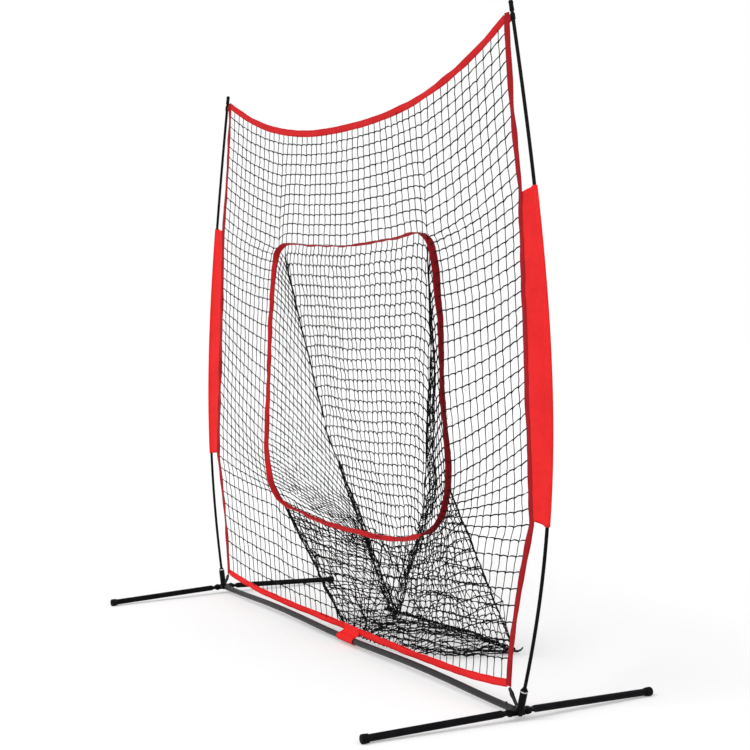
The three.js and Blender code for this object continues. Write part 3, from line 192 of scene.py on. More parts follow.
class Graph:
    """The node graph of a material or a world."""

    def __init__(self, owner: bpy.types.Material | bpy.types.World) -> None:
        """Empties its owner's graph."""
        owner.use_nodes = True
        self.owner, self.tree = owner, owner.node_tree
        self.tree.nodes.clear()

    def node(
        self, kind: str, settings: dict | None = None, inputs: dict | None = None, output: int | str = 0
    ) -> Value:
        """Adds any node.

        Args:
            kind: the node's type.
            settings: its properties.
            inputs: socket names or numbers with their numbers, colours or links.
            output: which output to return.

        Returns:
            The chosen output, wrapped.
        """
        made = self.tree.nodes.new(kind)
        for key, value in (settings or {}).items():
            setattr(made, key, value)
        for key, value in (inputs or {}).items():
            if isinstance(value, Value):
                self.tree.links.new(value.socket, made.inputs[key])
            else:
                made.inputs[key].default_value = value
        return Value(self, made.outputs[output] if made.outputs else None)

    def attribute(self, name: str) -> Value:
        """A number stored on the piece's points."""
        return self.node("ShaderNodeAttribute", {"attribute_name": name}, output="Fac")

    def grain(self, scale: float, detail: float, stretch: Colour | None = None) -> Value:
        """Noise from 0 to 1 over object coordinates.

        Args:
            scale: how fine it is, in repeats per metre.
            detail: octaves.
            stretch: further scale along each axis.

        Returns:
            The noise.
        """
        place = self.node("ShaderNodeTexCoord", output="Object")
        if stretch:
            place = self.node("ShaderNodeMapping", None, {"Vector": place, "Scale": stretch})
        return self.node("ShaderNodeTexNoise", None, {"Vector": place, "Scale": scale, "Detail": detail})

    def tint(self, share: Value, low: Value | Colour, high: Colour) -> Value:
        """A colour between two others."""
        first = low if isinstance(low, Value) else (*low, 1.0)
        inputs = {"Factor": share, "A": first, "B": (*high, 1.0)}
        return self.node("ShaderNodeMix", {"data_type": "RGBA"}, inputs, "Result")

    def finish(
        self, colour: Value, roughness: Value, bump: Value, depth: float, specular: float, metallic: float = 0.0
    ) -> bpy.types.Material:
        """Ends a material in a Principled surface.

        Args:
            colour: base colour.
            roughness: its roughness.
            bump: height, from 0 to 1.
            depth: what a height of 1 stands for, in metres.
            specular: level of plain reflection.
            metallic: 1 for bare metal.

        Returns:
            The material.
        """
        relief = {"Height": bump, "Distance": depth, "Strength": 0.8}
        inputs = {
            "Base Color": colour, "Roughness": roughness, "Metallic": metallic, "Specular IOR Level": specular,
            "Normal": self.node("ShaderNodeBump", None, relief),
        }
        shader = self.node("ShaderNodeBsdfPrincipled", None, inputs)
        self.node("ShaderNodeOutputMaterial", None, {"Surface": shader})
        return self.owner


@dataclass(frozen=True)
class Plain:
    """A plain surface: two shades mixed and dulled by a cloud of noise, over a fine grain.

    "cloud" and "grain" are a noise's scale and detail, and no grain takes the cloud itself. "shades"
    is the cloud's range from one shade to the other, "rubbed" its range in the roughness, and
    "rough" the least roughness and what the cloud adds.
    """

    name: str
    low: Colour
    high: Colour
    rough: Spot
    specular: float
    cloud: Spot
    shades: Spot
    depth: float
    grain: Spot | None = None
    rubbed: Spot | None = None
    metallic: float = 0.0
    stretch: Colour | None = None

    @cache
    def material(self) -> bpy.types.Material:
        """Makes the material, once."""
        graph = Graph(bpy.data.materials.new(self.name))
        cloud = graph.grain(*self.cloud, self.stretch)
        colour = graph.tint(cloud.band(*self.shades), self.low, self.high)
        dull = self.rough[0] + self.rough[1] * (cloud.band(*self.rubbed) if self.rubbed else cloud)
        bump = graph.grain(*self.grain) if self.grain else cloud
        return graph.finish(colour, dull, bump, self.depth, self.specular, self.metallic)


@dataclass(frozen=True)
class Woven:
    """Woven polyester along a piece: a fine weave, soft colour drift and sewn rows.

    "seams" are the places of the rows of stitches across the piece, in metres, and "back" is a
    darker colour painted on the ribbon's other face: painted shade for the face turned from the light.
    """

    name: str
    low: Colour
    high: Colour
    thread: Colour
    seams: tuple[float, ...] = STITCHED
    pitch: float = 0.0011
    stitch: float = 0.0042
    ribbed: bool = False
    back: Colour | None = None

    @cache
    def material(self) -> bpy.types.Material:
        """Makes the material, once."""
        graph = Graph(bpy.data.materials.new(self.name))
        along, across = graph.attribute("along"), graph.attribute("across")
        warp, weft = ((way * (ROUND / self.pitch)).wave() for way in (along, across))
        weave = warp if self.ribbed else warp * weft + (1 - warp) * (1 - weft)
        drift = graph.grain(9, 4) * 0.65 + graph.grain(70, 3) * 0.35
        colour = graph.tint((drift * 0.8 + weave * 0.2).band(0.3, 0.68), self.low, self.high)
        # Painted shade: points with a positive lift, on the ribbon's other face, take the darker back colour.
        if self.back:
            colour = graph.tint(graph.attribute("lift") > 0.0, colour, self.back)
        height = weave * 0.35
        for seam in self.seams:
            near = 1 - (across - seam).size().band(0.0005, 0.0009)
            sewn = near * (along.repeat(self.stitch) - 0.5).size().band(0.46, 0.38)
            colour = graph.tint(sewn, colour, self.thread)
            height = height - 0.6 * near + 1.2 * sewn
        return graph.finish(colour, 0.62 + 0.2 * drift, height, 0.0006, 0.14)


Look = Plain | Woven
STEEL = Plain(
    "black_steel", (0.002, 0.002, 0.003), (0.006, 0.006, 0.007), (0.42, 0.2), 0.05,
    cloud=(22, 6), shades=(0.35, 0.75), depth=0.0002, grain=(1400, 2), rubbed=(0.4, 0.8),
)
# The crossbar's shades are lighter and a little bluer than the legs' black: painted reflection of the white
# surroundings. Its higher specular level is its real gloss.
BAR = replace(
    STEEL, name="bar_steel", low=(0.008, 0.008, 0.010), high=(0.018, 0.018, 0.022), rough=(0.38, 0.2),
    specular=0.25,
)
OXIDE = replace(
    STEEL, name="black_oxide", low=(0.006, 0.006, 0.007), high=(0.022, 0.022, 0.024), rough=(0.34, 0.2),
    specular=0.3,
)
ZINC = Plain(
    "zinc_plate", (0.33, 0.33, 0.34), (0.62, 0.62, 0.6), (0.28, 0.22), 0.5,
    cloud=(160, 5), shades=(0.3, 0.7), depth=0.00005, grain=(2600, 2), metallic=1.0,
)
RUBBER = Plain(
    "moulded_rubber", (0.003, 0.003, 0.003), (0.010, 0.010, 0.009), (0.62, 0.25), 0.06,
    cloud=(60, 5), shades=(0.45, 0.8), depth=0.00025, grain=(2200, 3), rubbed=(0.45, 0.8),
)
POLE = Plain(
    "pole_fibreglass", (0.002, 0.002, 0.002), (0.005, 0.005, 0.006), (0.3, 0.15), 0.06,
    cloud=(1.0, 3), shades=(0.35, 0.7), depth=0.00012, stretch=(900, 900, 9),
)
TWINE = Plain(
    "black_twine", (0.003, 0.003, 0.004), (0.014, 0.014, 0.016), (0.72, 0.2), 0.05,
    cloud=(700, 3), shades=(0.3, 0.72), depth=0.0006,
)
# The bottom tape is the same tape as the edge tape, given the sleeve's brighter red as painted light for the
# light that falls on it; the sleeve and flap keep this red as their own.
LOW_TAPE = Woven("bottom_tape", (0.80, 0.014, 0.016), (0.95, 0.024, 0.024), (0.5, 0.01, 0.015))
SLEEVE = replace(LOW_TAPE, name="sleeve_cloth", seams=(0.006,))
FLAP = replace(LOW_TAPE, name="flap_cloth", thread=(0.5, 0.01, 0.02), seams=(-0.056, 0.056))
TAPE = Woven("edge_tape", (0.58, 0.010, 0.014), (0.74, 0.018, 0.021), (0.4, 0.006, 0.012))
SIDE_TAPE = Woven("side_tape", (0.31, 0.005, 0.010), (0.45, 0.010, 0.016), (0.2, 0.002, 0.006))
# The opening tape's reds are set darker than the edge tape's, partly as painted shade for its shaded lower run;
# its back colour is painted shade on the face turned from the light.
RING_TAPE = Woven(
    "opening_tape", (0.38, 0.007, 0.011), (0.60, 0.014, 0.018), (0.4, 0.004, 0.01), back=(0.17, 0.001, 0.005)
)
WEBBING = Woven(
    "black_webbing", (0.006, 0.006, 0.007), (0.03, 0.03, 0.033), (0.05, 0.05, 0.05), (-0.005, 0.005), 0.0018,
    ribbed=True,
)


# ---------------------------------------------------------------------------- mesh building


def only(items: Iterable, kind: type) -> list:
    """The items of one kind."""
    return [item for item in items if isinstance(item, kind)]


def headings(points: Sequence[Vector], closed: bool = False) -> list[Vector]:
    """The way that a line runs at each of its points."""
    count = len(points)

    def at(index: int) -> Vector:
        """A point, or the nearest one past an open line's end."""
        return points[index % count if closed else held(index, 0, count - 1)]

    return [(at(index + 1) - at(index - 1)).normalized() for index in range(count)]


def frames_along(
    points: Sequence[Vector], across: Vector | Sequence[Vector], closed: bool = False
) -> list[Matrix]:
    """Axes at each point of a line: X across, Y square to both, Z along.

    Args:
        points: the line.
        across: the direction across it, or one for each point; made square to the line.
        closed: whether the line's end meets its start.

    Returns:
        One 4 by 4 matrix for each point.
    """
    sides = [across] * len(points) if isinstance(across, Vector) else across
    made = []
    for point, side, along in zip(points, sides, headings(points, closed)):
        side = (side - along * side.dot(along)).normalized()
        matrix = Matrix((side, along.cross(side), along)).transposed().to_4x4()
        matrix.translation = point
        made.append(matrix)
    return made


def sweep(
    bm: BMesh,
    axes: Sequence[Matrix],
    section: Sequence[Spot] | Callable[[int], Sequence[Spot]],
    closed: bool = False,
    caps: bool = True,
) -> BMesh:
    """Extrudes a section along a line and stores each point's "along", "across" and "lift".

    Args:
        bm: the mesh to add to.
        axes: the line's axes.
        section: the section's points, or a function that gives them at each step.
        closed: joins the end to the start.
        caps: closes the ends of an open line.

    Returns:
        The mesh.
    """
    layers = bm.verts.layers.float
    along, across, lift = [layers.get(name) or layers.new(name) for name in ("along", "across", "lift")]
    shape = section if callable(section) else (lambda step: section)
    count, travelled = len(shape(0)), 0.0
    ring = bmesh.ops.create_circle(bm, segments=count, radius=1.0)["verts"]
    ring.sort(key=lambda vert: math.atan2(vert.co.y, vert.co.x) % (ROUND - 1e-6))
    first = ring

    def settle(step: int) -> None:
        """Moves the ring's points to their places at a step."""
        for vert, (x, y) in zip(ring, shape(step)):
            vert.co = axes[step] @ Vector((x, y, 0.0))
            vert[along], vert[across], vert[lift] = travelled, x, y

    def loop(verts: Sequence[BMVert]) -> list[BMEdge]:
        """The edges round a ring."""
        return [bm.edges.get((verts[k], verts[(k + 1) % count])) for k in range(count)]

    settle(0)
    for step in range(1, len(axes)):
        travelled += (axes[step].translation - axes[step - 1].translation).length
        fresh = set(only(bmesh.ops.extrude_edge_only(bm, edges=loop(ring))["geom"], BMVert))
        ring = [
            next(edge.other_vert(vert) for edge in vert.link_edges if edge.other_vert(vert) in fresh)
            for vert in ring
        ]
        settle(step)
    if closed:
        bmesh.ops.bridge_loops(bm, edges=loop(first) + loop(ring))
    elif caps:
        bmesh.ops.contextual_create(bm, geom=loop(first))
        bmesh.ops.contextual_create(bm, geom=loop(ring))
    bmesh.ops.recalc_face_normals(bm, faces=bm.faces[:])
    return bm


def circle(radius: float, sides: int = 28) -> list[Spot]:
    """A round section."""
    angles = (ROUND * k / sides for k in range(sides))
    return [(radius * math.cos(angle), radius * math.sin(angle)) for angle in angles]


def ribbon(width: float, thickness: float, bulge: float = 0.0) -> list[Spot]:
    """A flat section with soft edges, and a slight bulge in its middle."""
    w, t, e = width / 2, thickness / 2, min(thickness, width * 0.1)
    corner = [(w, 0, 0), (w - e * 0.3, 0.8, 0), (w - e, 1, 0), (w * 0.4, 1, 0.7)]
    upper = [*corner, (0.0, 1, 1), *((-x, y, b) for x, y, b in reversed(corner))]
    lower = [(x, -y, b) for x, y, b in reversed(upper[1:-1])]
    return [(x, t * y + bulge * b) for x, y, b in upper + lower]


def turned(profile: Sequence[Spot], place: Matrix, steps: int = 36) -> BMesh:
    """Spins a profile of (radius, height) points about an axis.

    Args:
        profile: the points, from one end to the other.
        place: where the axis goes; it is made along Z.
        steps: facets round it.

    Returns:
        The mesh.
    """
    bm = bmesh.new()
    line = [bm.verts.new((radius, 0.0, height)) for radius, height in profile]
    edges = [bm.edges.new(pair) for pair in zip(line, line[1:])]
    bmesh.ops.spin(
        bm, geom=line + edges, cent=(0, 0, 0), axis=(0, 0, 1), angle=ROUND, steps=steps, use_merge=True,
        dvec=(0, 0, 0),
    )
    bmesh.ops.remove_doubles(bm, verts=bm.verts[:], dist=1e-6)
    bmesh.ops.transform(bm, matrix=place, verts=bm.verts[:])
    bmesh.ops.recalc_face_normals(bm, faces=bm.faces[:])
    return bm


def levelled(bm: BMesh, height: float) -> BMesh:
    """Cuts a mesh off below a height and closes the cut."""
    whole = bm.verts[:] + bm.edges[:] + bm.faces[:]
    cut = bmesh.ops.bisect_plane(
        bm, geom=whole, plane_co=(0, 0, height), plane_no=(0, 0, -1), clear_outer=True
    )["geom_cut"]
    bmesh.ops.contextual_create(bm, geom=only(cut, BMEdge))
    return bm


def softened(bm: BMesh, edges: list[BMEdge], width: float) -> None:
    """Breaks edges with a small bevel."""
    bmesh.ops.bevel(
        bm, geom=edges, offset=width, offset_type="OFFSET", segments=2, profile=0.5, affect="EDGES",
        clamp_overlap=True, material=-1,
    )


def upright(place: Vector, along: Vector = UPWARDS) -> Matrix:
    """A matrix that stands Z along a direction at a place."""
    return Matrix.Translation(place) @ along.to_track_quat("Z", "Y").to_matrix().to_4x4()


def linked(name: str, data: bpy.types.ID) -> bpy.types.Object:
    """Adds an object to the scene."""
    made = bpy.data.objects.new(name, data)
    bpy.context.scene.collection.objects.link(made)
    return made


def solid(bm: BMesh, name: str, material: bpy.types.Material) -> bpy.types.Object:
    """Turns a bmesh into an object, and frees it."""
    mesh = bpy.data.meshes.new(name)
    bm.to_mesh(mesh)
    bm.free()
    mesh.materials.append(material)
    return linked(name, mesh)


def finished(
    bm: BMesh,
    name: str,
    look: Look,
    stands_for: Iterable[str] = (),
    body: str = BODY,
    angle: float = 38.0,
) -> bpy.types.Object:
    """Turns a bmesh into a piece that rides on a body.

    Args:
        bm: the mesh, which is freed.
        name: the piece's name.
        look: its finish.
        stands_for: the CAD nodes that it replaces.
        body: the CAD body that it rides on.
        angle: edges sharper than this, in degrees, stay crisp.

    Returns:
        The piece.
    """
    piece = solid(bm, name, look.material())
    piece.data.shade_smooth()
    piece.data.set_sharp_from_angle(angle=math.radians(angle))
    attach(piece, body)
    names = list(stands_for)
    if names:
        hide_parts(*names)
    LOG.info("%s: %d faces", name, len(piece.data.polygons))
    return piece


def baked(piece: bpy.types.Object) -> None:
    """Applies a piece's modifiers to its mesh."""
    shape = piece.evaluated_get(bpy.context.evaluated_depsgraph_get())
    mesh = bpy.data.meshes.new_from_object(shape)
    piece.modifiers.clear()
    piece.data = mesh


def thickened(cloth: bpy.types.Object, thickness: float = 0.0012) -> None:
    """Gives a sheet of cloth its thickness."""
    layer = cloth.modifiers.new("cloth", "SOLIDIFY")
    layer.thickness, layer.offset = thickness, 0.0
    baked(cloth)


# ---------------------------------------------------------------------------- the net's outline

TOP_LEFT, TOP_RIGHT, BOTTOM_RIGHT, BOTTOM_LEFT, TOP_LEFT_AGAIN = 0, 4, 8, 12, 16


@dataclass(frozen=True)
class Outline:
    """Sizes that the frame and the net share, and the lines that follow from them.

    The opening's shape is given as shares of its half width and its height, at numbered stations
    round it. Its tape's turns are (station, radians) pairs.
    """

    hub_span: float = 1.145
    bar_height: float = 0.028
    pole_foot_outset: float = 0.006
    pole_tip_height: float = 2.130
    pole_tip_outset: float = 0.021
    foot_lean: float = 19.6
    tip_lean: float = 14.4
    foot_handle: float = 0.681
    tip_handle: float = 1.014
    back_slope: float = 0.0125
    top_half: float = 1.064
    corner_drop: float = 0.035
    top_sag: float = 0.209
    top_power: float = 2.45
    bottom_inset: float = 0.053
    bottom_corner: float = 0.101
    bottom_middle: float = 0.061
    bottom_power: float = 4.0
    belly: float = 0.020
    edge_power: float = 1.47
    sleeve_top: float = 1.581
    sleeve_bottom: float = 0.598
    sleeve_top_width: float = 0.074
    sleeve_bottom_width: float = 0.078
    opening_width: float = 1.400
    opening_height: float = 1.053
    opening_sill: float = 0.422
    heading_step: float = 0.02
    opening_shape: tuple[Spot, ...] = (
        (-0.86, 0.991), (-0.45, 0.996), (-0.03, 0.983), (0.43, 0.992), (0.818, 0.984),
        (0.922, 0.8), (0.968, 0.5), (1.016, 0.205), (0.9, 0.087), (0.6, 0.022),
        (0, 0), (-0.5, 0.012), (-0.905, 0.062), (-1.022, 0.2), (-1.0, 0.47), (-0.952, 0.8),
    )
    tape_turns: tuple[Spot, ...] = (
        (0.0, 1.35), (0.5, 1.45), (3.7, 1.45), (4.1, 1.85), (4.8, 1.85), (5.4, 1.35), (5.9, 1.12),
        (6.2, 1.2), (6.8, 1.6), (8.3, 1.75), (8.55, 0.7), (9.3, 1.0), (10.0, 1.12), (10.6, 1.32),
        (11.2, 1.57), (12.1, 1.57), (13.0, 0.5), (14.0, 0.25), (15.6, 0.4), (16.0, 1.35),
    )

    @property
    def top(self) -> float:
        """Height of the net's top corners."""
        return self.pole_tip_height - self.corner_drop

    @property
    def bottom_half(self) -> float:
        """Reach of the net's bottom corners."""
        return self.hub_span - self.bottom_inset

    def lean(self, height: float) -> float:
        """How far the net leans back at a height."""
        return (height - self.bar_height) * self.back_slope

    def pole_point(self, side: Side, share: float) -> Vector:
        """A point of the bowed pole's axis, which is a cubic curve."""
        foot, tip = math.radians(self.foot_lean), math.radians(self.tip_lean)
        low, high = self.bar_height, self.pole_tip_height
        foot_x, tip_x = self.hub_span + self.pole_foot_outset, self.top_half + self.pole_tip_outset
        controls = (
            (foot_x, low),
            (foot_x + self.foot_handle * math.sin(foot), low + self.foot_handle * math.cos(foot)),
            (tip_x + self.tip_handle * math.sin(tip), high - self.tip_handle * math.cos(tip)),
            (tip_x, high),
        )
        a, b, c, d = (side.at(x, self.lean(z), z) for x, z in controls)
        r = 1 - share
        return a * r**3 + b * (3 * r * r * share) + c * (3 * r * share * share) + d * share**3

    def pole_reach(self, height: float) -> float:
        """Reach of the pole's axis from the middle, at a height."""
        low, high = 0.0, 1.0
        for _ in range(40):
            middle = (low + high) / 2
            if self.pole_point(Side.RIGHT, middle).z < height:
                low = middle
            else:
                high = middle
        return self.pole_point(Side.RIGHT, low).x

    def side_edge(self, height: float) -> float:
        """Reach of the side tape's middle, at a height."""
        upper = self.pole_reach(self.sleeve_top) - self.sleeve_top_width
        lower = self.pole_reach(self.sleeve_bottom) - self.sleeve_bottom_width
        if height > self.sleeve_top:
            share = max(0.0, (self.top - height) / (self.top - self.sleeve_top))
            return mix(self.top_half, upper, share**self.edge_power)
        if height < self.sleeve_bottom:
            share = max(0.0, (height - self.bottom_corner) / (self.sleeve_bottom - self.bottom_corner))
            return mix(self.bottom_half, lower, share**self.edge_power)
        return mix(lower, upper, (height - self.sleeve_bottom) / (self.sleeve_top - self.sleeve_bottom))

    def top_edge(self, x: float) -> float:
        """Height of the top tape's middle."""
        return self.top - self.top_sag * (1 - min(1.0, abs(x) / self.top_half) ** self.top_power)

    def bottom_edge(self, x: float) -> float:
        """Height of the bottom tape's middle."""
        share = min(1.0, abs(x) / self.bottom_half) ** self.bottom_power
        return mix(self.bottom_middle, self.bottom_corner, share)

    def on_face(self, x: float, z: float) -> Vector:
        """Lifts a spot of the outline on to the net's face, which leans back and bellies."""
        share = min(1.0, abs(x) / self.side_edge(z))
        return Vector((x, self.lean(z) + self.belly * (1 - share**2), z))

    def opening_across(self, station: float) -> Vector:
        """The way from the outer edge of the opening's tape to its inner edge, which is turned back."""
        step = self.heading_step
        along = (self._opening(station + step) - self._opening(station - step)).normalized()
        index, share = located([key for key, _ in self.tape_turns], station % TOP_LEFT_AGAIN)
        turn = mix(self.tape_turns[index - 1][1], self.tape_turns[index][1], eased(share))
        return Vector((along.y, 0, -along.x)) * math.cos(turn) + BACKWARDS * math.sin(turn)

    def opening_point(self, station: float, reach: float = 0.0) -> Vector:
        """A point on the opening's tape, some way across it from its middle line."""
        spot = self._opening(station % TOP_LEFT_AGAIN)
        return self.on_face(spot.x, spot.y) + self.opening_across(station) * reach

    def _opening(self, station: float) -> Vector:
        """A point on a smooth closed curve through the opening's points."""
        start = math.floor(station)
        knots, times = [], [0.0]
        for step in (-1, 0, 1, 2):
            across, up = self.opening_shape[(start + step) % len(self.opening_shape)]
            x = across * self.opening_width / 2
            knots.append(Vector((x, self.opening_sill + up * self.opening_height)))
        for before, after in zip(knots, knots[1:]):
            times.append(times[-1] + max((after - before).length, 1e-6) ** 0.5)
        time = mix(times[1], times[2], station - start)

        def between(first: Vector, second: Vector, low: int, high: int) -> Vector:
            """A point on the line through two others, for the time between theirs."""
            share = (time - times[low]) / (times[high] - times[low])
            return first * (1 - share) + second * share

        a = [between(knots[k], knots[k + 1], k, k + 1) for k in range(3)]
        b = [between(a[k], a[k + 1], k, k + 2) for k in range(2)]
        return between(*b, 1, 2)


# ---------------------------------------------------------------------------- base and poles


@dataclass
class Crossbar:
    """The two arched half tubes, their coupler and the three snap buttons."""

    outline: Outline
    radius: float = 0.011
    wall: float = 0.0012
    roll: float = 0.0003
    arch: float = 0.008
    start: float = 0.0002
    end: float = 1.1207
    turned_in: float = 0.03
    facets: int = 36
    coupler_radius: float = 0.0093
    coupler_half: float = 0.06
    coupler_button: float = -0.046
    hub_button_inset: float = 0.041
    button_radius: float = 0.0035
    rise: float = 0.004

    def build(self) -> None:
        """Builds every piece of the crossbar."""
        height = self.outline.bar_height
        for side in Side:
            self._half(side)
            place = upright(side.at(self.end - self.hub_button_inset, 0, height))
            self._button(f"hub_button_{side.word}", f"{side.word}_hub_button", place)
        behind = upright(Vector((self.coupler_button, 0, height)), BACKWARDS)
        self._button("coupler_button", "middle_button", behind)
        ends = [Vector((x, 0, height)) for x in (-self.coupler_half, self.coupler_half)]
        tube = sweep(bmesh.new(), frames_along(ends, BACKWARDS), circle(self.coupler_radius))
        finished(tube, "coupler_tube", STEEL, ["crossbar_coupler"])

    def _half(self, side: Side) -> None:
        """One arched tube with its wall turned in at the ends."""
        points = []
        for share in spread(36):
            rise = self.arch * math.sin(math.pi * share) ** 2
            points.append(side.at(mix(self.start, self.end, share), 0, self.outline.bar_height + rise))
        axes = frames_along(points, BACKWARDS)
        first, last = (
            Matrix.Translation(axis.col[2].to_3d() * depth) @ axis
            for axis, depth in ((axes[0], self.turned_in), (axes[-1], -self.turned_in))
        )
        bore, lip = [self.radius - self.wall] * 2, [self.radius - self.roll]
        radii = [*bore, *lip, *[self.radius] * (len(axes) - 2), *lip, *bore]
        axes = [first, axes[0], *axes, axes[-1], last]
        tube = sweep(bmesh.new(), axes, lambda step: circle(radii[step], self.facets), caps=False)
        name = f"crossbar_{side.word}"
        finished(tube, f"{name}_tube", BAR, [name], angle=50)

    def _button(self, node: str, body: str, place: Matrix) -> None:
        """A domed snap button, on its own body."""
        crown = self.radius + self.rise
        dome = ((1.0, 0.0021), (0.93, 0.0013), (0.74, 0.0006), (0.4, 0.0001), (0.0, 0.0))
        profile = mm((0, 4.7), (4.6, 4.7), (4.6, 6.2), (self.button_radius * 1000, 6.2))
        profile += [(self.button_radius * share, crown - drop) for share, drop in dome]
        finished(turned(profile, place, 28), f"{node}_dome", OXIDE, [node], body)


@dataclass
class Hub:
    """One end of the base: bracket, bolts, pole socket and bushing, and its two legs.

    The profiles are (radius, height) points in millimetres.
    """

    outline: Outline
    side: Side
    half_height: float = 0.0083
    gap: float = 0.0003
    plate_edge: float = 0.0006
    pivot_offset: float = 0.031
    leg_length: float = 0.475
    open_angle: float = 87.0
    leg_radius: float = 0.011
    tongue_half: float = 0.012
    tongue_thickness: float = 0.010
    tongue_length: float = 0.018
    taper: float = 0.012
    cap_radius: float = 0.0145
    cap_length: float = 0.024
    cap_floor: float = 0.0053
    foot_flat: float = 0.0005
    socket_length: float = 0.064
    foot_height: float = 0.0366
    nut_radius: float = 0.0069
    nut_height: float = 0.0036
    bolt_below: float = 0.0045
    socket_profile: tuple[Spot, ...] = (
        (0, -54), (9.9, -54), (9.9, -0.4), (10.3, 0), (11.1, 0), (11.5, -0.4), (11.5, -12), (11.5, -90),
        (0, -90),
    )
    bushing_profile: tuple[Spot, ...] = (
        (6.1, -22), (9.6, -22), (9.6, 0.3), (10.9, 0.3), (11.1, 1.2), (10.5, 2.1), (8, 3.2), (7.8, 7),
        (7.3, 8), (6.5, 8), (6.1, 7.6), (6.1, -22),
    )
    rim_profile: tuple[Spot, ...] = (
        (11.6, -4.2), (12.2, -3.6), (12.3, -2.2), (12.2, -0.8), (11.6, -0.2), (11.3, -2.2), (11.6, -4.2),
    )
    cap_profile: tuple[Spot, ...] = (
        (0, 7), (11.5, 7), (11.5, -12), (12.47, -12), (13.485, -11.4), (13.775, -9), (13.195, -7.5),
        (13.8475, -6), (14.355, -2.5), (14.5, 2.5), (14.5, 6), (14.2825, 8.4), (13.485, 10.5), (11.89, 11.7),
        (9.57, 12), (0, 12),
    )

    def build(self) -> None:
        """Builds the hub and its legs."""
        self._bracket()
        self._socket()
        for place in Place:
            self._leg(place)
            node = f"pivot_bolt_{place.word}_{self.side.word}"
            self._bolt(node, self._pivot(place), 0.004, self._seat + self.bolt_below, 0.007)

    @property
    def _seat(self) -> float:
        """How far a bolt's heads sit from the hub's middle height."""
        return self.half_height + self.gap

    def _bracket(self) -> None:
        """The CAD's bracket with its facets merged and its edges broken by a small bevel."""
        node = f"hub_bracket_{self.side.word}"
        bm = bmesh.new()
        bm.from_mesh(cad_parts[node].data)
        bmesh.ops.remove_doubles(bm, verts=bm.verts[:], dist=1e-5)
        bmesh.ops.dissolve_limit(
            bm, angle_limit=math.radians(4), verts=bm.verts[:], edges=bm.edges[:], use_dissolve_boundaries=False
        )
        sharp, short = math.radians(40), 3 * self.plate_edge
        edges = [edge for edge in bm.edges if edge.is_manifold]
        softened(
            bm, [edge for edge in edges if edge.calc_face_angle(0.0) > sharp and edge.calc_length() > short],
            self.plate_edge,
        )
        finished(bm, f"hub_plates_{self.side.word}", STEEL, [node])

    def _mouth(self) -> tuple[Vector, Vector]:
        """The socket's mouth and the direction in which it leans."""
        previous, travelled = self.outline.pole_point(self.side, 0.0), 0.0
        for share in spread(2000)[1:]:
            point = self.outline.pole_point(self.side, share)
            travelled += (point - previous).length
            if travelled >= self._seat + self.socket_length:
                return point, (point - previous).normalized()
            previous = point
        raise ValueError("the pole is shorter than its socket")

    def _socket(self) -> None:
        """The leaning socket with its bright rim, the bushing and the bolt below."""
        mouth, lean = self._mouth()
        place, word = upright(mouth, lean), self.side.word
        tube = levelled(turned(mm(*self.socket_profile), place, 40), self.foot_height)
        finished(tube, f"socket_tube_{word}", STEEL, [f"pole_socket_{word}"])
        bushing = turned(mm(*self.bushing_profile), place)
        finished(bushing, f"bushing_{word}", RUBBER, [f"socket_bushing_{word}"])
        finished(turned(mm(*self.rim_profile), place, 40), f"socket_rim_{word}", ZINC)
        low_x = mouth.x - (mouth.z - self.foot_height) * lean.x / lean.z
        self._bolt(f"socket_bolt_{word}", Vector((low_x, 0, self.outline.bar_height)), 0.003, 0.0136)

    def _bolt(self, node: str, centre: Vector, shank: float, top: float, head: float = 0.0) -> None:
        """A dome-headed bolt with a hexagon below it, or a plain end above.

        Args:
            node: the CAD node that it stands for.
            centre: the middle of the hub's height, on the bolt's axis.
            shank: the shank's radius.
            top: the top of the bolt above the centre.
            head: the upper head's radius, or 0 where there is none.
        """
        seat, low, brim = self._seat, -self._seat - self.bolt_below, self._seat + 0.0012
        profile = [(0.0, low), (0.0032, low), (0.0036, low + 0.0006), (0.0036, -seat), (shank, -seat)]
        if head:
            dome = [(head * math.cos(a), mix(brim, top, math.sin(a))) for a in spread(6, 0.0, math.pi / 2)]
            profile += [(shank, seat), (head - 0.0004, seat), (head, seat + 0.0004), *dome[:-1], (0.0, top)]
        else:
            profile += [(shank, top), (0.0, top)]
        bm = turned(profile, upright(centre), 32)
        nut = bmesh.ops.create_cone(
            bm, cap_ends=True, segments=6, radius1=self.nut_radius, radius2=self.nut_radius,
            depth=self.nut_height, matrix=Matrix.Translation(centre - UPWARDS * (seat + self.nut_height / 2)),
        )["verts"]
        softened(bm, list(dict.fromkeys(edge for vert in nut for edge in vert.link_edges)), 0.0004)
        finished(bm, f"{node}_oxide", OXIDE, [node])

    def _pivot(self, place: Place) -> Vector:
        """A leg's pivot at the hub's middle height."""
        return self.side.at(self.outline.hub_span, place.value * self.pivot_offset, self.outline.bar_height)

    def _leg(self, place: Place) -> None:
        """A leg with its flattened tongue, and the rubber cap on its end."""
        fall = (self.outline.bar_height - self.cap_radius + self.foot_flat) / self.leg_length
        turn = math.radians(180 - self.open_angle) * place.value
        if self.side is Side.LEFT:
            turn = math.pi - turn
        stand = Matrix.Translation(self._pivot(place)) @ Matrix.Rotation(turn, 4, "Z")
        end = self.leg_length + self.cap_length / 2 - self.cap_floor
        start, taper_end = -self.tongue_half, self.tongue_length + self.taper
        reaches = [start, start + 0.0012, start + 0.004, start + 0.008, 0.0, self.tongue_length]
        reaches += spread(6, self.tongue_length, taper_end)[1:] + spread(8, taper_end, end)[1:]
        points = [Vector((x, 0.0, -fall * max(0.0, x - self.tongue_length * 0.6))) for x in reaches]

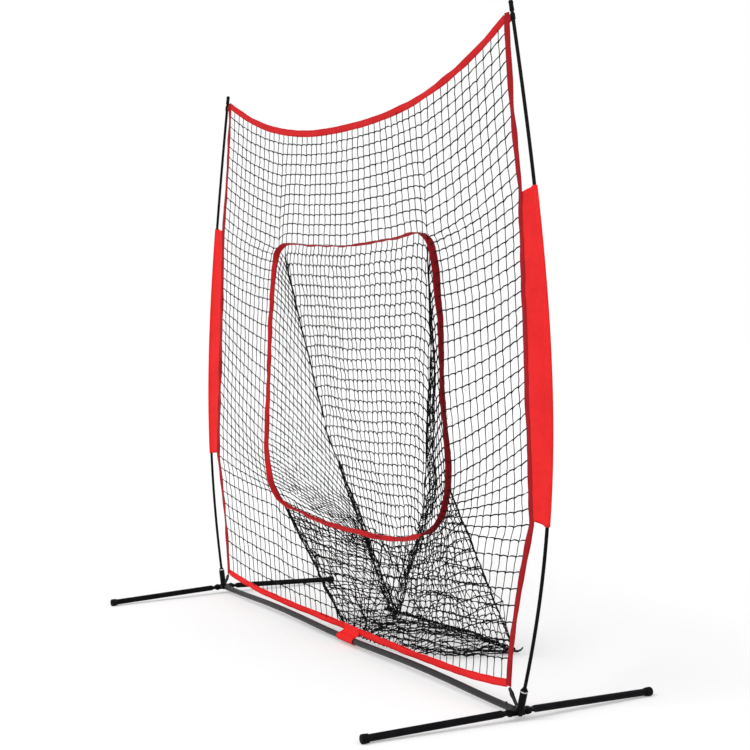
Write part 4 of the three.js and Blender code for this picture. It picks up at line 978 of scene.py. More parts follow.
        def section(step: int) -> list[Spot]:
            """A flat oblong at the tongue that grows into the round tube."""
            reach = reaches[step]
            grown = eased(held((reach - self.tongue_length) / self.taper))
            rounding = math.sqrt(1 - held(-reach / self.tongue_half) ** 2)
            wide = mix(self.tongue_half * max(rounding, 0.28), self.leg_radius, grown)
            high = mix(self.tongue_thickness / 2, self.leg_radius, grown)
            power = mix(0.32, 1.0, grown)
            return [
                (math.copysign(abs(x) ** power, x) * wide, math.copysign(abs(y) ** power, y) * high)
                for x, y in circle(1.0, 36)
            ]

        bm = sweep(bmesh.new(), frames_along(points, BACKWARDS), section)
        bmesh.ops.transform(bm, matrix=stand, verts=bm.verts[:])
        word = f"{place.word}_{self.side.word}"
        finished(bm, f"leg_tube_{word}", STEEL, [f"leg_{word}"], f"{word}_leg")
        lay = Matrix.Translation(Vector((self.leg_length, 0, -fall * self.leg_length)))
        lay = lay @ Matrix.Rotation(math.pi / 2 + math.atan(fall), 4, "Y")
        cap = levelled(turned(mm(*self.cap_profile), stand @ lay, 48), 0.0)
        finished(cap, f"foot_cap_{word}_rubber", RUBBER, [f"foot_cap_{word}"], f"{word}_leg")


@dataclass
class BowedPole:
    """One pole: three rods, two ferrules and the rubber tip.

    The ferrule is (place, radius) points and the tip (radius, height) points, in millimetres.
    """

    outline: Outline
    side: Side
    radius: float = 0.0055
    start: float = 0.0196
    ferrule: tuple[Spot, ...] = (
        (0, 6.3), (1, 6.8), (4, 6.8), (5.5, 6.45), (7, 6.45), (8.5, 6.8), (35, 6.8), (61.5, 6.8), (63, 6.45),
        (64.5, 6.45), (66, 6.8), (69, 6.8), (70, 6.3),
    )
    tip: tuple[Spot, ...] = (
        (0, 0.3), (5.8, 0.3), (5.8, -26), (6.6, -26), (7.4, -25.2), (7.4, -23), (7, -20.5), (6.8, -12),
        (6.8, -3), (7.1, -0.5), (7.4, 1), (7.2, 2.8), (6.512, 4.8), (5.032, 6.5), (2.96, 7.7), (0, 8),
    )

    def __post_init__(self) -> None:
        """Stores points along the pole with their distances."""
        self.shares, self.distances = spread(600), [0.0]
        points = [self.outline.pole_point(self.side, share) for share in self.shares]
        for before, after in zip(points, points[1:]):
            self.distances.append(self.distances[-1] + (after - before).length)
        self.length = self.distances[-1]

    def build(self) -> None:
        """Builds the pole's pieces."""
        joints, word = spread(3, self.start, self.length), self.side.word
        for name, low, high in zip(("lower", "middle", "upper"), joints, joints[1:]):
            axes = self._axes(spread(26, low, high))
            node = f"pole_{name}_{word}"
            finished(sweep(bmesh.new(), axes, circle(self.radius, 24)), f"{node}_rod", POLE, [node])
        profile = mm(*self.ferrule)
        for name, joint in zip(("lower", "upper"), joints[1:]):
            low = joint - profile[-1][0] / 2
            axes = self._axes([low + place for place, _ in profile])
            node = f"pole_ferrule_{name}_{word}"
            tube = sweep(bmesh.new(), axes, lambda step: circle(profile[step][1]))
            finished(tube, f"{node}_tube", STEEL, [node])
        node, end = f"pole_tip_{word}", self.at(self.length)
        tip = turned(mm(*self.tip), upright(end, end - self.at(self.length - 0.01)))
        finished(tip, f"{node}_cap", RUBBER, [node])

    def at(self, distance: float) -> Vector:
        """The pole's axis at a distance from its foot."""
        distance = held(distance, 0.0, self.length)
        index = bisect_left(self.distances, distance - 1e-12, 1)
        low, high = self.distances[index - 1], self.distances[index]
        share = mix(self.shares[index - 1], self.shares[index], (distance - low) / (high - low))
        return self.outline.pole_point(self.side, share)

    def _axes(self, distances: Sequence[float]) -> list[Matrix]:
        """The pole's axes at some distances from its foot."""
        return frames_along([self.at(distance) for distance in distances], BACKWARDS)


# ---------------------------------------------------------------------------- tapes and sleeves


@dataclass
class Tapes:
    """The sewn tapes round the net and round its opening."""

    outline: Outline
    width: float = 0.026
    thickness: float = 0.0026
    bulge: float = 0.0004
    overrun: float = 0.009
    pucker: float = 0.0016
    loop_radius: float = 0.0069
    loop_gap: float = 38.0
    ring_points: int = 300

    def build(self) -> None:
        """Builds all the tapes."""
        edge = self.outline
        lines = (
            ("top", edge.top_half, edge.top_edge, TAPE),
            ("bottom", edge.bottom_half, edge.bottom_edge, LOW_TAPE),
        )
        for word, half, height, look in lines:
            reach = half - self.width / 2
            bm = self._tape([(x, height(x)) for x in spread(110, -reach, reach)])
            finished(bm, f"tape_{word}_ribbon", look, [f"tape_{word}"])
        for side in Side:
            self._side(side)
        self._opening()

    def _tape(self, spots: Sequence[Spot]) -> BMesh:
        """One open tape in the face, which sewing draws in a little at the knots."""
        points = [self.outline.on_face(x, z) for x, z in spots]
        across = [along.cross(BACKWARDS).normalized() for along in headings(points)]
        for index, point in enumerate(points):
            sway = (noise.noise_vector(point * 9.0) + noise.noise_vector(point * 31.0) * 0.5) * self.pucker
            fade = min(1.0, index / 4, (len(points) - 1 - index) / 4)
            points[index] = point + Vector((sway.x * 0.6, sway.y, sway.z)) * fade
            across[index] = across[index] + BACKWARDS * (noise.noise(point * 13.0) * 0.35 * fade)
        section = ribbon(self.width, self.thickness, self.bulge)
        return sweep(bmesh.new(), frames_along(points, across), section)

    def _side(self, side: Side) -> None:
        """A side tape, and the black rubber loop that goes from its end round the pole."""
        edge = self.outline
        heights = spread(120, edge.bottom_corner - self.overrun, edge.top + self.overrun)
        bm = self._tape([(side.value * edge.side_edge(z), z) for z in heights])
        pole = BowedPole(edge, side)
        spot = pole.length - edge.corner_drop - self.overrun
        centre = pole.at(spot)
        lean = (pole.at(spot + 0.01) - centre).normalized()
        inwards = side.at(-1, 0, 0)
        inwards = (inwards - lean * inwards.dot(lean)).normalized()
        back, radius = lean.cross(inwards), self.loop_radius
        path = [
            centre + inwards * (radius * math.cos(angle)) + back * (radius * math.sin(angle))
            for angle in spread(20, math.radians(self.loop_gap), math.radians(360 - self.loop_gap))
        ]
        start = centre + inwards * (radius * 1.9)
        path = [start, *path, start - back * 0.0008]
        reach = abs(centre.x) - edge.side_edge(centre.z) - self.width / 2 + 0.004
        tongue = [centre + inwards * reach, centre + inwards * (radius * 1.25)]
        sweep(bm, frames_along(tongue, lean), ribbon(self.width * 0.8, self.thickness * 2))
        loop = sweep(bmesh.new(), frames_along(path, lean), ribbon(self.width * 0.7, 0.0014))
        node = f"tape_side_{side.word}"
        finished(bm, f"{node}_ribbon", SIDE_TAPE, [node])
        finished(loop, f"{node}_loop", RUBBER, [node])

    def _opening(self) -> None:
        """The opening's closed tape, which the pocket's pull turns back."""
        edge, points, across = self.outline, [], []
        for index in range(self.ring_points):
            station = index * TOP_LEFT_AGAIN / self.ring_points
            point = edge.opening_point(station)
            ahead, behind = (edge.opening_point(station + step * edge.heading_step) for step in (1, -1))
            roll = Matrix.Rotation(0.28 * noise.noise(point * 12.0), 3, (ahead - behind).normalized())
            points.append(
                point + noise.noise_vector(point * 15.0) * 0.0030 + noise.noise_vector(point * 34.0) * 0.0013
            )
            across.append(roll @ edge.opening_across(station))
        axes = frames_along(points, across, closed=True)
        bm = sweep(bmesh.new(), axes, ribbon(self.width, self.thickness, 0.0005), closed=True)
        finished(bm, "tape_opening_ribbon", RING_TAPE, ["tape_opening"])


@dataclass
class Sleeve:
    """A folded sheet of red cloth, sewn to the side tape, with the pole in its fold."""

    outline: Outline
    side: Side
    bore: float = 0.0082
    web_half: float = 0.0008
    web_width: float = 0.066
    overlap: float = 0.010

    def build(self) -> None:
        """Builds the sleeve."""
        edge, side = self.outline, self.side
        heights = spread(96, edge.sleeve_bottom, edge.sleeve_top)
        reaches = [edge.pole_reach(height) for height in heights]
        points = [side.at(reach, edge.lean(height), height) for reach, height in zip(reaches, heights)]

        def section(step: int) -> list[Spot]:
            """The fold round the pole and the two layers of the web."""
            height = heights[step]
            width = reaches[step] - edge.side_edge(height) - self.overlap
            layer = []
            for x in spread(10, width, self.bore * 0.5):
                lift = mix(self.web_half, self.bore * 0.92, max(0.0, 1 - x / (self.bore * 3.2)) ** 1.5)
                layer.append((x, lift, self._fold(x / width, height, step / (len(heights) - 1))))
            arc = [
                (self.bore * math.cos(a), self.bore * math.sin(a))
                for a in spread(16, math.radians(66), math.radians(294))
            ]
            rear = [(x, drape - lift) for x, lift, drape in reversed(layer)]
            return [(x, lift + drape) for x, lift, drape in layer] + arc + rear

        word = side.word
        bm = sweep(bmesh.new(), frames_along(points, side.at(-1, 0, 0)), section, caps=False)
        cloth = finished(bm, f"sleeve_cloth_{word}", SLEEVE, [f"sleeve_{word}"], angle=70)
        thickened(cloth)

    def _fold(self, share_in: float, height: float, share_up: float) -> float:
        """How far the web stands out of its plane: long shallow creases that fade at its seams."""
        fade = math.sin(math.pi * min(1.0, share_in)) ** 0.8
        long_crease = math.sin(3.1 * height + 5.5 * share_in + self.side.value)
        short = noise.noise(Vector((share_in * 2.2, self.side.value * 3.0, height * 7.0)))
        ends = 0.5 + 0.9 * (abs(share_up - 0.5) * 2) ** 3
        return fade * (0.0016 * long_crease + 0.0026 * short * ends)


# ---------------------------------------------------------------------------- netting


@dataclass(frozen=True)
class Weave:
    """How a piece of knotted netting is made: its twine, its knots and how slack it hangs.

    "steps" are the shares along a strand of its three inner points, and "bends" their bends.
    """

    knot: float = 0.0062
    row_twine: float = 0.0044
    column_twine: float = 0.0030
    arch: float = 0.0034
    wander: float = 0.0024
    hidden: float = 0.35
    steps: tuple[float, ...] = (0.0, 0.09, 0.5, 0.91)
    bends: tuple[float, ...] = (0.0, 0.75, 1.0, 0.25)

    def lattice(
        self, bm: BMesh, surface: Surface, columns: int, rows: int, sewn: Test = lambda u, v: False
    ) -> BMesh:
        """Adds a grid of meshes over a surface, with three extra points on each strand.

        Args:
            bm: the mesh to add to; its "knot" layer gets 1 at each knot.
            surface: gives a place for each (u, v) from 0 to 1.
            columns: meshes across.
            rows: meshes up.
            sewn: tells for (u, v) whether the netting is sewn into a tape there, which hides its girth.

        Returns:
            The mesh.
        """
        knot = bm.verts.layers.float.get("knot") or bm.verts.layers.float.new("knot")
        bmesh.ops.create_grid(bm, x_segments=columns, y_segments=rows, size=0.5)
        fresh = (vert for vert in bm.verts if vert[knot] == 0.0)
        edges = list(dict.fromkeys(edge for vert in fresh for edge in vert.link_edges))
        bmesh.ops.subdivide_edges(bm, edges=edges, cuts=3, use_grid_fill=False)
        for vert in bm.verts:
            if vert[knot] == 0.0:
                u, v = (vert.co.x + 0.5) * columns, (vert.co.y + 0.5) * rows
                girth, vert.co = self._settle(surface, u, v, columns, rows)
                vert[knot] = girth * (self.hidden if sewn(u / columns, v / rows) else 1.0)
                vert.co.z = max(vert.co.z, self.knot * 0.6)
        return bm

    def _settle(self, surface: Surface, u: float, v: float, columns: int, rows: int) -> tuple[float, Vector]:
        """The weight and the place of one point of the lattice."""
        i, j = math.floor(u + 1e-4), math.floor(v + 1e-4)
        start, in_row = self._knot(surface, i, j, columns, rows), u - i > 0.1
        if not in_row and v - j < 0.1:
            return 1.0, start
        end = self._knot(surface, i + in_row, j + (not in_row), columns, rows)
        step = round((u - i if in_row else v - j) * 4)
        place, bend = start.lerp(end, self.steps[step]), self.arch * self.bends[step]
        hang = noise.noise_vector(place * 37.0) * bend
        if in_row:
            return self.row_twine / self.knot, place + hang * 0.6 + Vector((0, 0, bend))
        return self.column_twine / self.knot, place + hang * 0.8 + Vector((bend * 0.5, 0, 0))

    def _knot(self, surface: Surface, i: int, j: int, columns: int, rows: int) -> Vector:
        """A knot's place: on the surface, a little off, less so at the edges."""
        place = surface(held(i / columns), held(j / rows))
        inner = 0 < i < columns and 0 < j < rows
        stray = noise.noise_vector(place * 23.0 + Vector((i * 0.37, 0, j * 0.61)))
        return place + stray * (self.wander if inner else 0.0)

    def piece(self, bm: BMesh, name: str, nodes: Iterable[str] = ()) -> None:
        """Turns the lattice into twine and knots, and rides it on the frame.

        Args:
            bm: the lattice.
            name: the piece's name.
            nodes: the CAD nodes that it stands for.
        """
        bmesh.ops.recalc_face_normals(bm, faces=bm.faces[:])
        piece = finished(bm, name, TWINE, nodes, angle=180)
        values = [item.value for item in piece.data.attributes["knot"].data]
        group = piece.vertex_groups.new(name="girth")
        for index, value in enumerate(values):
            group.add([index], value, "REPLACE")
        wire = piece.modifiers.new("twine", "WIREFRAME")
        wire.thickness, wire.vertex_group = self.knot, group.name
        wire.use_even_offset, wire.use_boundary, wire.use_replace = False, True, True
        baked(piece)
        piece.vertex_groups.clear()
        piece.data.shade_smooth()
        LOG.info("%s: %d faces of twine", name, len(piece.data.polygons))


def patch(bottom: Line, top: Line, left: Line, right: Line) -> Surface:
    """A surface stretched between four lines that meet at their corners."""

    def surface(u: float, v: float) -> Vector:
        """A point of the stretched surface."""
        spot = bottom(u) * (1 - v) + top(u) * v + left(v) * (1 - u) + right(v) * u
        spot -= left(0) * ((1 - u) * (1 - v)) + right(0) * (u * (1 - v))
        spot -= left(1) * ((1 - u) * v) + right(1) * (u * v)
        return spot

    return surface


def straight(start: Vector, end: Vector) -> Line:
    """A straight line between two points."""
    return lambda share: start.lerp(end, share)


@dataclass
class NetFace:
    """The knotted net between the tapes and the opening."""

    outline: Outline
    weave: Weave = Weave()
    side_columns: int = 12
    middle_columns: int = 26
    rows_below: int = 8
    rows_beside: int = 24
    rows_above: int = 11
    drift: float = 0.050
    inset: float = 0.006
    lift_power: float = 0.9

    def __post_init__(self) -> None:
        """Stores where the opening starts and ends, as shares of the rows."""
        self.rows = self.rows_below + self.rows_beside + self.rows_above
        self.low, self.high = self.rows_below / self.rows, (self.rows_below + self.rows_beside) / self.rows

    def build(self) -> None:
        """Builds the four panels as one sheet of netting."""
        bm = bmesh.new()
        for side in Side:
            self.weave.lattice(bm, self._side(side), self.side_columns, self.rows, self._side_sewn)
        for above, rows in ((True, self.rows_above), (False, self.rows_below)):
            surface = self._middle(above)
            self.weave.lattice(bm, surface, self.middle_columns, rows, lambda u, v: v < NEAR or v > 1 - NEAR)
        bmesh.ops.remove_doubles(bm, verts=bm.verts[:], dist=0.0015)
        self.weave.piece(bm, "face_netting", ["net_top", "net_bottom", "net_side_left", "net_side_right"])

    def _side_sewn(self, u: float, v: float) -> bool:
        """Whether a side panel is sewn into a tape at (u, v)."""
        beside = self.low - NEAR < v < self.high + NEAR
        return u < NEAR or v < NEAR or v > 1 - NEAR or (u > 1 - NEAR and beside)

    def _ring(self, station: float) -> Vector:
        """The opening's outline where the netting is sewn in."""
        return self.outline.opening_point(station, -self.inset).xz

    def _crease(self, side: Side, above: bool) -> tuple[Vector, Vector]:
        """The crease from an opening's corner to the net's top or bottom edge."""
        stations = (TOP_LEFT, TOP_RIGHT) if above else (BOTTOM_LEFT, BOTTOM_RIGHT)
        corner = self._ring(stations[side is Side.RIGHT])
        return corner, self._edge(corner.x - side.value * self.drift, above)

    def _edge(self, x: float, above: bool) -> Vector:
        """The net's top or bottom edge, just inside its tape."""
        height = self.outline.top_edge(x) - self.inset if above else self.outline.bottom_edge(x) + self.inset
        return Vector((x, height))

    def _side(self, side: Side) -> Surface:
        """The panel between a side tape and the opening."""
        low_corner, low_end = self._crease(side, False)
        high_corner, high_end = self._crease(side, True)
        stations = (BOTTOM_RIGHT, TOP_RIGHT) if side is Side.RIGHT else (BOTTOM_LEFT, TOP_LEFT_AGAIN)
        edge = self.outline

        def inner(v: float) -> Vector:
            """Up the lower crease, along the opening and up the upper crease."""
            if v < self.low:
                return low_end.lerp(low_corner, v / self.low)
            if v > self.high:
                return high_corner.lerp(high_end, (v - self.high) / (1 - self.high))
            return self._ring(mix(*stations, (v - self.low) / (self.high - self.low)))

        def outer(v: float) -> Vector:
            """Up the side tape."""
            top = edge.top_edge(edge.top_half - self.inset) - self.inset
            height = mix(edge.bottom_corner + self.inset, top, v**self.lift_power)
            return Vector((side.value * (edge.side_edge(height) - self.inset), height))

        def across(above: bool) -> Line:
            """Along the top or bottom tape."""
            start, end = outer(above).x, (high_end if above else low_end).x
            return lambda u: self._edge(mix(start, end, u), above)

        surface = patch(across(False), across(True), outer, inner)
        return lambda u, v: edge.on_face(*surface(u, v))

    def _middle(self, above: bool) -> Surface:
        """The panel above or below the opening."""
        left_corner, left_end = self._crease(Side.LEFT, above)
        right_corner, right_end = self._crease(Side.RIGHT, above)
        stations = (TOP_LEFT, TOP_RIGHT) if above else (BOTTOM_LEFT, BOTTOM_RIGHT)
        tape: Line = lambda u: self._edge(mix(left_end.x, right_end.x, u), above)
        ring: Line = lambda u: self._ring(mix(*stations, u))
        if above:
            surface = patch(ring, tape, straight(left_corner, left_end), straight(right_corner, right_end))
        else:
            surface = patch(tape, ring, straight(left_end, left_corner), straight(right_end, right_corner))
        return lambda u, v: self.outline.on_face(*surface(u, v))


@dataclass(frozen=True)
class Fold:
    """A fold of the pocket as (x, y, height) points from the ground up."""

    points: tuple[tuple[float, float, float], ...]

    def at(self, height: float) -> Vector:
        """The fold's place at a height."""
        index, share = located([point[2] for point in self.points], height)
        return Vector(self.points[index - 1]).lerp(Vector(self.points[index]), share)

    def cut(self, bm: BMesh, kept: Side) -> None:
        """Cuts netting off along the fold.

        Args:
            bm: the netting.
            kept: the side of the fold whose netting stays.
        """
        spots = [Vector(point) for point in self.points]
        heights = [-1.0, *(spot.z for spot in spots[1:-1]), 9.0]
        for index, (start, end) in enumerate(zip(spots, spots[1:])):
            low, high = heights[index : index + 2]
            faces = [face for face in bm.faces if low <= face.calc_center_median().z < high]
            edges = dict.fromkeys(edge for face in faces for edge in face.edges)
            verts = dict.fromkeys(vert for face in faces for vert in face.verts)
            bmesh.ops.bisect_plane(
                bm, geom=[*verts, *edges, *faces], dist=0.0004, plane_co=start,
                plane_no=(end - start).cross(BACKWARDS) * kept.value, clear_outer=True,
            )


@dataclass
class Pocket:
    """The netting bag behind the opening: back, sides, low front, floor and gathered folds.

    A panel's "leave" is the station where the opening's tape leaves it for the ground.
    """

    outline: Outline
    weave: Weave = Weave(arch=0.0062, wander=0.004)
    taut_weave: Weave = Weave(0.0068, 0.0042, 0.0036, arch=0.0030, wander=0.003)
    gather_weave: Weave = Weave(0.0050, 0.0034, 0.0028, arch=0.0036, wander=0.004)
    slack_weave: Weave = Weave(0.0058, 0.0040, 0.0032, arch=0.0052, wander=0.009)
    ground: float = 0.012
    roll_ground: float = 0.004
    sewn: float = 0.010
    side_reach: float = 0.56
    back_lean: float = 0.27
    left_leave: float = 12.25
    right_leave: float = 7.0
    left_low: float = 0.33
    right_low: float = 0.42
    left_corner: Spot = (-0.340, 0.165)
    right_corner: Spot = (0.435, 0.452)
    front_line: tuple[Spot, ...] = (
        (-0.340, 0.165), (-0.105, 0.075), (0.253, 0.100), (0.400, 0.220), (0.435, 0.452)
    )
    left_fold: Fold = Fold(((-0.300, 0.376, 0.012), (-0.466, 0.172, 0.75), (-0.560, 0.035, 1.456)))
    right_fold: Fold = Fold((
        (-0.270, 0.372, 0.012), (0.050, 0.240, 0.250), (0.290, 0.170, 0.460), (0.500, 0.085, 1.060),
        (0.562, 0.045, 1.455),
    ))

    def build(self) -> None:
        """Builds the panels and the folds between them."""
        left_edge = self._edge(self.left_corner, self.left_leave, TOP_LEFT_AGAIN - 0.05, self.left_low)
        right_edge = self._edge(self.right_corner, self.right_leave, TOP_RIGHT + 0.05, self.right_low)
        side_left = self._side(left_edge, self.left_fold, 1.0)
        side_right = self._side(right_edge, self.right_fold, 0.5)
        to_right, to_left = (self.left_fold, Side.RIGHT), (self.right_fold, Side.LEFT)
        panels: tuple[tuple[str, Weave, Surface, int, int, Test, tuple], ...] = (
            ("back", self.weave, self._back, 37, 38, lambda u, v: v > 1 - NEAR, (to_right, to_left)),
            (
                "side_left", self.taut_weave, side_left, 31, 52, lambda u, v: u < NEAR and v > self.left_low,
                ((self.left_fold, Side.LEFT),),
            ),
            (
                "side_right", self.weave, side_right, 17, 44, lambda u, v: u < NEAR and v > self.right_low,
                ((self.right_fold, Side.RIGHT),),
            ),
            ("front", self.slack_weave, self._front, 28, 11, lambda u, v: v > 1 - NEAR, ()),
            ("floor", self.slack_weave, self._floor, 28, 8, lambda u, v: min(u, v, 1 - u, 1 - v) < NEAR, ()),
        )
        for name, weave, surface, columns, rows, sewn, cuts in panels:
            bm = weave.lattice(bmesh.new(), self._slack(surface), columns, rows, sewn)
            for fold, kept in cuts:
                fold.cut(bm, kept)
            weave.piece(bm, f"pocket_{name}_netting", [f"pocket_{name}"])
        self._gathers()

    def _slack(self, surface: Surface) -> Surface:
        """A surface that crumples more the lower it hangs."""

        def hanging(u: float, v: float) -> Vector:
            """A point of the crumpled surface."""
            spot = surface(u, v)
            amount = 0.004 + 0.034 * held((0.75 - spot.z) / 0.6) ** 2
            crumple = noise.noise_vector(spot * 6.5) + noise.noise_vector(spot * 17.0) * 0.55
            return spot + crumple * (amount * min(1.0, 5 * min(u, v, 1 - v)))

        return hanging

    def _inside(self, station: float) -> Vector:
        """Where the pocket is sewn to the opening's tape."""
        return self.outline.opening_point(station, self.sewn)

    def _on_ground(self, spot: Spot) -> Vector:
        """A spot on the ground."""
        return Vector((*spot, self.ground))

    def _back(self, u: float, v: float) -> Vector:
        """A point of the back, whose columns follow the right fold and whose rows dip at both folds."""
        share = 1.08 * u * (0.86 + 0.14 * u)
        top = self._inside(mix(TOP_LEFT, TOP_RIGHT, min(1.0, share)))
        height = mix(self.ground, top.z, v)
        x = top.x + max(0.0, share - 1) * 1.1 - self.back_lean * (top.z - height)
        left, right = self.left_fold.at(height), self.right_fold.at(height)
        depth = mix(left.y, right.y, held((x - left.x) / (right.x - left.x), -0.2, 1.2))
        dip = 0.020 * math.exp(-abs(x - left.x) / 0.05) + 0.024 * math.exp(-abs(x - right.x) / 0.035)
        sag = 0.030 * max(0.0, 1.1 - height) * math.sin(math.pi * held((x - left.x) / 0.6))
        fade, join = min(1.0, 8 * (1 - v)), min(1.0, 10 * (1 - v))
        return Vector((x, mix(top.y, depth, join), height - (dip + sag) * fade))

    def _edge(self, corner: Spot, leave: float, end: float, low: float) -> Line:
        """A side panel's front edge: up from the ground to the opening, then along it.

        Args:
            corner: where it stands.
            leave: the opening's station that it reaches.
            end: the station where it ends.
            low: the share of the edge below the opening.

        Returns:
            The edge.
        """

        def line(v: float) -> Vector:
            """A point of the front edge."""
            if v < low:
                return self._on_ground(corner).lerp(self._inside(leave), v / low)
            return self._inside(mix(leave, end, (v - low) / (1 - low)))

        return line

    def _side(self, edge: Line, fold: Fold, slope: float) -> Surface:
        """A side panel, whose rows fall from its front edge to the fold and a little past it.

        Args:
            edge: the panel's front edge, from the ground up.
            fold: the fold at its back.
            slope: how far a row falls for each metre that it goes back.

        Returns:
            The panel's surface.
        """

        def surface(u: float, v: float) -> Vector:
            """A point of the side panel, a fixed way in from its front edge."""
            start = edge(v)
            height, fall = start.z, slope * min(1.0, start.z / 0.9)
            for _ in range(6):
                gap = max(0.01, (fold.at(height) - start).xy.length)
                height = max(start.z - fall * gap, mix(self.ground, start.z, 0.3))
            end = fold.at(height)
            end.y = max(end.y, min(start.y, 0.06) + 0.01)
            share = min(u * self.side_reach, gap + 0.05) / gap
            spot = start.lerp(end, share)
            spot.z = mix(start.z, end.z, share**1.2)
            return spot

        return surface

    def _front_ground(self, share: float) -> Vector:
        """The line where the front panel meets the ground."""
        line = self.front_line
        x = mix(line[0][0], line[-1][0], share)
        index, part = located([spot[0] for spot in line], x)
        return self._on_ground((x, mix(line[index - 1][1], line[index][1], part)))

    def _front(self, u: float, v: float) -> Vector:
        """A point of the low front panel, which drops from the sill to the ground."""
        return self._front_ground(u).lerp(self._inside(mix(self.left_leave, self.right_leave, u)), v)

    def _floor(self, u: float, v: float) -> Vector:
        """A point of the part that lies on the ground, up to the rear hem."""
        rear = Vector(self.left_fold.points[0]).lerp(self._on_ground(self.right_corner), u)
        return self._front_ground(u).lerp(rear, v)

    def _gathers(self) -> None:
        """Bunched netting along the folds, the taut edges and the rear hem."""
        left, right = self._on_ground(self.left_corner), self._on_ground(self.right_corner)
        start = Vector(self.left_fold.points[0]) + Vector((-0.07, 0.006, 0.016))
        lifted, beside = right + UPWARDS * 0.008, Vector((0.03, 0.01, 0))
        gathers = (
            ("left", lambda v: self.left_fold.at(mix(0.02, 0.62, v)), 0.024, 0.008, 8, 26),
            ("right", lambda v: self.right_fold.at(mix(0.02, 0.50, v)), 0.020, 0.026, 7, 20),
            (
                "right_upper", lambda v: self.right_fold.at(mix(0.50, 1.30, v)) + beside * (1 - v), 0.034, 0.003,
                7, 26,
            ),
            ("hem", straight(start, lifted), 0.016, 0.018, 9, 36),
            ("taut_right", straight(lifted, self._inside(self.right_leave)), 0.005, 0.002, 3, 24),
            ("taut_left", straight(left, self._inside(self.left_leave)), 0.006, 0.003, 3, 18),
        )
        for name, line, low, high, columns, rows in gathers:
            bm = self.gather_weave.lattice(bmesh.new(), self._gathered(line, low, high), columns, rows)
            self.gather_weave.piece(bm, f"pocket_gather_{name}")

    def _gathered(self, line: Line, low: float, high: float) -> Surface:
        """Netting bunched round a line, as a crumpled roll.

        Args:
            line: the roll's middle.
            low: the roll's radius at its start.
            high: the roll's radius at its end.

        Returns:
            The roll's surface.
        """

        def surface(u: float, v: float) -> Vector:
            """A point of the roll."""
            centre, girth = line(v), mix(low, high, v)
            angle = 2.3 * math.pi * u + 1.7 * v
            radius = girth * (0.4 + 0.6 * abs(noise.noise(Vector((u * 5.0, v * 9.0, 2.0)))))
            sway = noise.noise_vector(centre * 12.0) * girth * 0.5
            out = Vector((math.cos(angle), math.sin(angle) * 0.8, math.sin(angle) * 0.4))
            spot = centre + sway + out * radius
            spot.z = max(spot.z, self.roll_ground)
            return spot

        return surface


# ---------------------------------------------------------------------------- straps


